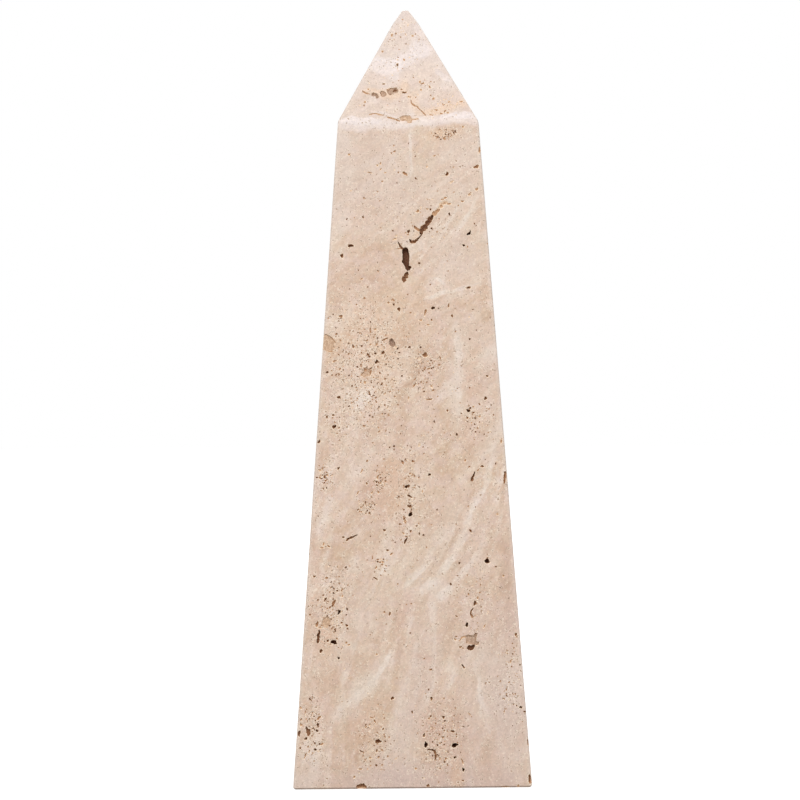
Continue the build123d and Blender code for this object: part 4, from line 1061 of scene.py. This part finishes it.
def stone_colour(tree):
    """The travertine's colour at a place: bands along the bedding, clouds, marks and grain."""
    place = place_in_stone(tree)
    # Two warps, so that no band or mark has a clean edge.
    wide = tree.wander(place, 0.055, 2)
    fine = tree.wander(place, 0.33, 3)
    warped = tree.moved(tree.moved(place, wide, 9), fine, 3.2)
    ruffled = tree.moved(place, fine, 2.0)
    bedding, depth, height = bedding_place(tree, warped)

    def bands(stretch, roughness):
        return tree.noise(tree.vector("MULTIPLY", bedding, stretch), 1.0, 3, roughness)

    shaft = (tree, warped, shaft_face(0), {})
    top = (tree, warped, pyramidion_face(0), {})
    streaks = mark_weights(tree, ruffled, shaft_face(0), {}, LIGHT_STREAKS, 0.5, 1.1)
    light = tree.math("MULTIPLY_ADD", streaks, STREAK_STRENGTH, mark_weights(*shaft, LIGHT_MARKS))
    tan = mark_weights(*shaft, TAN_MARKS)
    stray = tree.remap(tree.noise(place, 0.07, 3), 0.45, 0.75, 0.0, 0.5)
    porous = tree.math("ADD", stray, mark_weights(*shaft, PORE_MARKS))

    layers = [
        (bands((0.42, 0.03, 0.04), 0.55), 0.85),
        (bands((0.12, 0.016, 0.02), 0.5), 0.45),
        (tree.noise(warped, 0.075, 5, 0.58), 0.5),
        (tree.noise(warped, 0.16, 3, 0.55), 0.4),
        (tree.noise(ruffled, 0.3, 3, 0.6), 0.5),
    ]
    tone = 0.0
    for layer, amount in layers:
        tone = tree.sway(layer, amount, tone)
    # Away from the front, where there are no marks, the bands and clouds are stronger.
    tone = tree.math("MULTIPLY_ADD", tone, tree.remap(depth, -20, 0, 1.0, 1.7, smooth=True), 0.5)
    tone = tree.math("MULTIPLY_ADD", light, 0.3, tone)
    tone = tree.math("MULTIPLY_ADD", tan, -0.26, tone)
    colour = tree.ramp(tone, STONE_TONES)
    hue = tree.noise(tree.vector("ADD", place, (70, 30, 10)), 0.05, 3, 0.5)
    tint = tree.noise(tree.vector("ADD", ruffled, (40, 90, 20)), 0.24, 3, 0.6)
    casts = [
        (hue, 0.42, 0.66, 0.25, (220, 195, 182)), (hue, 0.48, 0.34, 0.2, (218, 199, 172)),
        (tint, 0.5, 0.62, 0.3, (219, 196, 188)), (tint, 0.48, 0.38, 0.3, (211, 193, 171)),
    ]
    for cast, low, high, most, over in casts:
        colour = tree.mix(tree.remap(cast, low, high, 0, most), colour, srgb(*over))
    colour = tinted(shaft, colour, SHAFT_TINTS)
    # The pyramidion is paler, most of all up its slope, and the shoulder's round is paler still with a
    # painted highlight.
    paler = tree.math("ADD", tree.remap(height, SHOULDER_HEIGHT - 1, SHOULDER_HEIGHT + 2, 0.0, 0.4),
                      tree.remap(height, SHOULDER_HEIGHT + 8, SHOULDER_HEIGHT + 26, 0.0, 0.25))
    colour = tree.mix(paler, colour, srgb(220, 207, 201))
    colour = tinted(top, colour, PYRAMIDION_TINTS)
    # Painted highlight: a paler band along the shoulder's round, where it catches the light.
    from_shoulder = tree.math("ABSOLUTE", tree.math("SUBTRACT", height, SHOULDER_HEIGHT - 0.2))
    worn = tree.remap(from_shoulder, 1.0, 3.2, 0.5, 0.0, smooth=True)
    colour = tree.mix(worn, colour, srgb(236, 225, 222))
    # The long edges are painted a little paler: a painted reflection of the white surroundings on their
    # rounds.
    x, y, z = tree.add("SeparateXYZ", {"Vector": place}).node.outputs
    nearer = tree.math("MINIMUM", tree.math("ABSOLUTE", x), tree.math("ABSOLUTE", y))
    from_edge = tree.math("SUBTRACT", half_width_at(tree, z), nearer)
    colour = tree.mix(tree.remap(from_edge, 0.3, 1.6, 0.4, 0.0), colour, srgb(226, 212, 202))
    grain = tree.noise(place, 1.1, 3, 0.6)
    shade = tree.sway(grain, tree.math("MULTIPLY_ADD", porous, 0.18, 0.4), 1.0)
    shade = tree.sway(tree.noise(place, 2.4, 2, 0.6), 0.36, shade)
    shade = tree.sway(bands((0.7, 0.28, 0.4), 0.6), 0.24, shade)
    return place, tree.vector("SCALE", colour, scale=shade), grain, porous


def half_width_at(tree, z):
    """Half the stone's width at this height, whether on the shaft or the pyramidion."""
    shaft = tree.math("MULTIPLY_ADD", z, -TAPER, BASE_HALF)
    top = tree.math("MULTIPLY_ADD", z, -PYRAMIDION_TAPER, SHOULDER_HALF + PYRAMIDION_TAPER * SHOULDER_HEIGHT)
    return tree.math("MINIMUM", shaft, top)


def finish_material(tree, colour, roughness, bump_height, bump_distance):
    bump = tree.add("Bump", {"Height": bump_height, "Distance": bump_distance * MM})
    shader = tree.add("BsdfPrincipled", {"Base Color": colour, "Roughness": roughness,
                      "Normal": bump, "Specular IOR Level": 0.35})
    tree.add("OutputMaterial", {"Surface": shader})
    return tree.owner


def specks(tree, place, scale, share):
    """Soft specks, one in a cell of noise, kept where the share is high, and a ring round each, which is a
    painted highlight.
    """
    cells = tree.add("TexVoronoi", {"Vector": place, "Scale": scale}).node.outputs
    chance = tree.add("SeparateColor", {"Color": cells["Color"]})
    kept = tree.remap(tree.math("SUBTRACT", share, chance), 0.0, 0.12)
    middle = tree.remap(cells["Distance"], 0.2, 0.36, 1.0, 0.0, smooth=True)
    whole = tree.remap(cells["Distance"], 0.42, 0.62, 1.0, 0.0, smooth=True)
    # The ring round each speck is a painted highlight.
    ring = tree.math("SUBTRACT", whole, middle)
    return tree.math("MULTIPLY", middle, kept), tree.math("MULTIPLY", ring, kept, clamp=True)


def travertine():
    """Honed stone: matt, with fine grain and micropores, drawn as brown specks whose brown is partly painted
    shade, each ringed by a painted highlight.
    """
    tree = Tree(bpy.data.materials.new("honed_travertine"))
    place, colour, grain, porous = stone_colour(tree)
    ragged = tree.moved(place, tree.wander(place, 1.7, 2), 1.3)

    def strewn(shift, scale, more, least):
        share = tree.math("MULTIPLY_ADD", porous, more, least)
        return specks(tree, tree.vector("ADD", ragged, shift), scale, share)

    dark, dark_speck_highlight = strewn((0, 0, 0), 1.3, 0.35, 0.22)
    coarse, coarse_speck_highlight = strewn((11, 23, 7), 0.75, 0.3, 0.05)
    light = strewn((31, 17, 5), 1.1, 0.38, 0.06)[0]
    # The pale specks, joined with the painted highlights that ring the dark and coarse specks.
    light = tree.math("MAXIMUM", light, tree.math("MAXIMUM", dark_speck_highlight, coarse_speck_highlight))
    # Painted highlights round the pores, then brown specks that are partly painted shade in the pores.
    layers = [(light, 0.52, PALE_RIM_AND_HIGHLIGHT), (dark, 0.6, SPECK_BROWN_AND_SHADE), (coarse, 0.75, SPECK_BROWN_AND_SHADE)]
    for layer, share, over in layers:
        colour = tree.mix(tree.math("MULTIPLY", layer, share), colour, srgb(*over))
    height = tree.math("MULTIPLY_ADD", tree.math("MAXIMUM", dark, coarse), -1.5, grain)
    roughness = tree.remap(grain, 0.3, 0.7, 0.56, 0.7)
    return finish_material(tree, colour, roughness, height, 0.08)


def depth_below(tree, place):
    """How far a place lies below the nearest face of the stone."""
    x, y, z = tree.add("SeparateXYZ", {"Vector": place}).node.outputs
    reach = tree.math("MAXIMUM", tree.math("ABSOLUTE", x), tree.math("ABSOLUTE", y))
    return tree.math("MINIMUM", tree.math("SUBTRACT", half_width_at(tree, z), reach), z)


# Colours from a void's rim inwards: (depth in millimetres, colour). The pale rim is partly a painted
# highlight, and the browning with depth is partly the voids' own brown and partly painted shade.
VOID_COLOURS_AND_SHADE = [(0.0, PALE_RIM_AND_HIGHLIGHT), (0.135, (238, 214, 188)), (0.36, (206, 168, 134)), (0.75, (176, 133, 99)),
              (1.65, (140, 99, 71)), (3.0, (108, 71, 52))]
# For the vugs, by depth: browner and darker deeper down, partly their own colour and partly painted shade.
VUG_COLOURS_AND_SHADE = [(0.05, (240, 220, 198)), (0.2, (226, 198, 170)), (0.5, (221, 187, 157)),
             (0.75, (204, 174, 151)), (1.0, (170, 142, 124))]


def void_stone():
    """The rough inside of a dark void: a pale worn rim that is partly a painted highlight, then browner with
    depth, partly painted shade.
    """
    tree = Tree(bpy.data.materials.new("travertine_void"))
    place = place_in_stone(tree)
    crumbs = tree.noise(place, 2.0, 3, 0.7)
    depth = tree.math("MULTIPLY", depth_below(tree, place), tree.remap(crumbs, 0.3, 0.7, 0.45, 1.7))
    deepest = VOID_COLOURS_AND_SHADE[-1][0]
    stops = [(at / deepest, tone) for at, tone in VOID_COLOURS_AND_SHADE]
    # Painted shade: the deeper into the void, the browner and darker the colour.
    colour = tree.ramp(tree.math("DIVIDE", depth, deepest), stops)
    return finish_material(tree, colour, 0.9, crumbs, 0.25)


def vug_stone():
    """The floor of a shallow vug, nearly as pale as the face and browner where it is deeper: partly its own
    colour, partly painted shade.
    """
    tree = Tree(bpy.data.materials.new("travertine_vug"))
    place = place_in_stone(tree)
    crumbs = tree.noise(place, 1.5, 4, 0.75)
    colour = tree.ramp(depth_below(tree, place), VUG_COLOURS_AND_SHADE)
    colour = tree.mix(tree.remap(crumbs, 0.4, 0.7, 0.0, 0.65), colour, srgb(150, 116, 90))
    colour = tree.mix(tree.remap(crumbs, 0.48, 0.3, 0.0, 0.6), colour, srgb(238, 216, 190))
    return finish_material(tree, colour, 0.9, crumbs, 0.35)


# ---------------------------------------------------------------- studio and camera

CAMERA_DISTANCE = 877.0
CAMERA_HEIGHT = 146.0
CAMERA_AZIMUTH = -2.1  # degrees round the stone, to its left
CAMERA_PAN = 0.18  # degrees left of the stone's axis
CAMERA_ROLL = -0.24
FOCAL_LENGTH = 99.7
SENSOR = 36.0


def make_camera():
    data = bpy.data.cameras.new("camera")
    data.lens = FOCAL_LENGTH
    data.sensor_width = SENSOR
    camera = bpy.data.objects.new("camera", data)
    azimuth = math.radians(CAMERA_AZIMUTH)
    place = Vector((math.sin(azimuth), -math.cos(azimuth), 0)) * CAMERA_DISTANCE
    place.z = CAMERA_HEIGHT
    camera.matrix_world = (Matrix.Translation(place * MM)
                           @ Matrix.Rotation(azimuth + math.radians(CAMERA_PAN), 4, "Z")
                           @ Matrix.Rotation(math.radians(90), 4, "X")
                           @ Matrix.Rotation(math.radians(CAMERA_ROLL), 4, "Z"))
    bpy.context.scene.collection.objects.link(camera)
    bpy.context.scene.camera = camera


STONE_MIDDLE = Vector((0, 0, 0.15))
# Square lamps that face the stone's middle: name, place and side in metres, power in watts
SOFTBOXES = [
    ("key", (-0.5, -1.5, 1.35), 1.3, 26), ("fill", (1.3, -1.3, 0.6), 1.2, 7),
    ("key_behind", (0.5, 1.5, 1.35), 1.3, 20), ("fill_behind", (-1.3, 1.3, 0.6), 1.2, 10),
]
WHITE = (1, 1, 1, 1)
WORLD_STRENGTH = 0.435
FLOOR_COLOUR = (0.38, 0.38, 0.38, 1)
FLOOR_GLOW = 0.85
FLOOR_RADIUS = 6  # in metres


def add_softbox(name, place, size, power):
    data = bpy.data.lights.new(name, "AREA")
    data.size = size
    data.energy = power
    lamp = bpy.data.objects.new(name, data)
    lamp.location = place
    lamp.rotation_euler = (STONE_MIDDLE - Vector(place)).to_track_quat("-Z", "Y").to_euler()
    bpy.context.scene.collection.objects.link(lamp)


def background_rays(tree):
    """1 for the rays that see the background, and 0 for those that light the stone."""
    rays = tree.add("LightPath").node.outputs
    seen = tree.math("MAXIMUM", rays["Is Camera Ray"], rays["Is Glossy Ray"])
    return tree.math("MAXIMUM", seen, rays["Is Transmission Ray"])


def pale_floor():
    """Keeps the stone's shadow and looks white to the camera."""
    tree = Tree(bpy.data.materials.new("pale_floor"))
    diffuse = tree.add("BsdfDiffuse", {"Color": FLOOR_COLOUR})
    strength = tree.math("MULTIPLY", background_rays(tree), FLOOR_GLOW)
    glow = tree.add("Emission", {"Color": WHITE, "Strength": strength})
    both = tree.add("AddShader", {0: diffuse, 1: glow})
    tree.add("OutputMaterial", {"Surface": both})
    return tree.owner


def studio_world():
    """White where it is seen, and dimmer where it lights the stone."""
    tree = Tree(bpy.data.worlds.new("studio"))
    lit = tree.add("Background", {"Color": WHITE, "Strength": WORLD_STRENGTH})
    white = tree.add("Background", {"Color": WHITE, "Strength": 1.0})
    chosen = tree.add("MixShader", {0: background_rays(tree), 1: lit, 2: white})
    tree.add("OutputWorld", {"Surface": chosen})
    return tree.owner


def make_studio():
    bpy.context.scene.world = studio_world()
    for softbox in SOFTBOXES:
        add_softbox(*softbox)
    bpy.ops.mesh.primitive_circle_add(vertices=96, radius=FLOOR_RADIUS, fill_type="NGON")
    floor = bpy.context.object
    floor.name = "floor"
    floor.data.materials.append(pale_floor())
    bpy.context.scene.view_settings.view_transform = "Standard"


make_camera()
make_studio()
stone = make_stone(travertine(), void_stone(), vug_stone())
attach(stone, "root")
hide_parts("monolith")
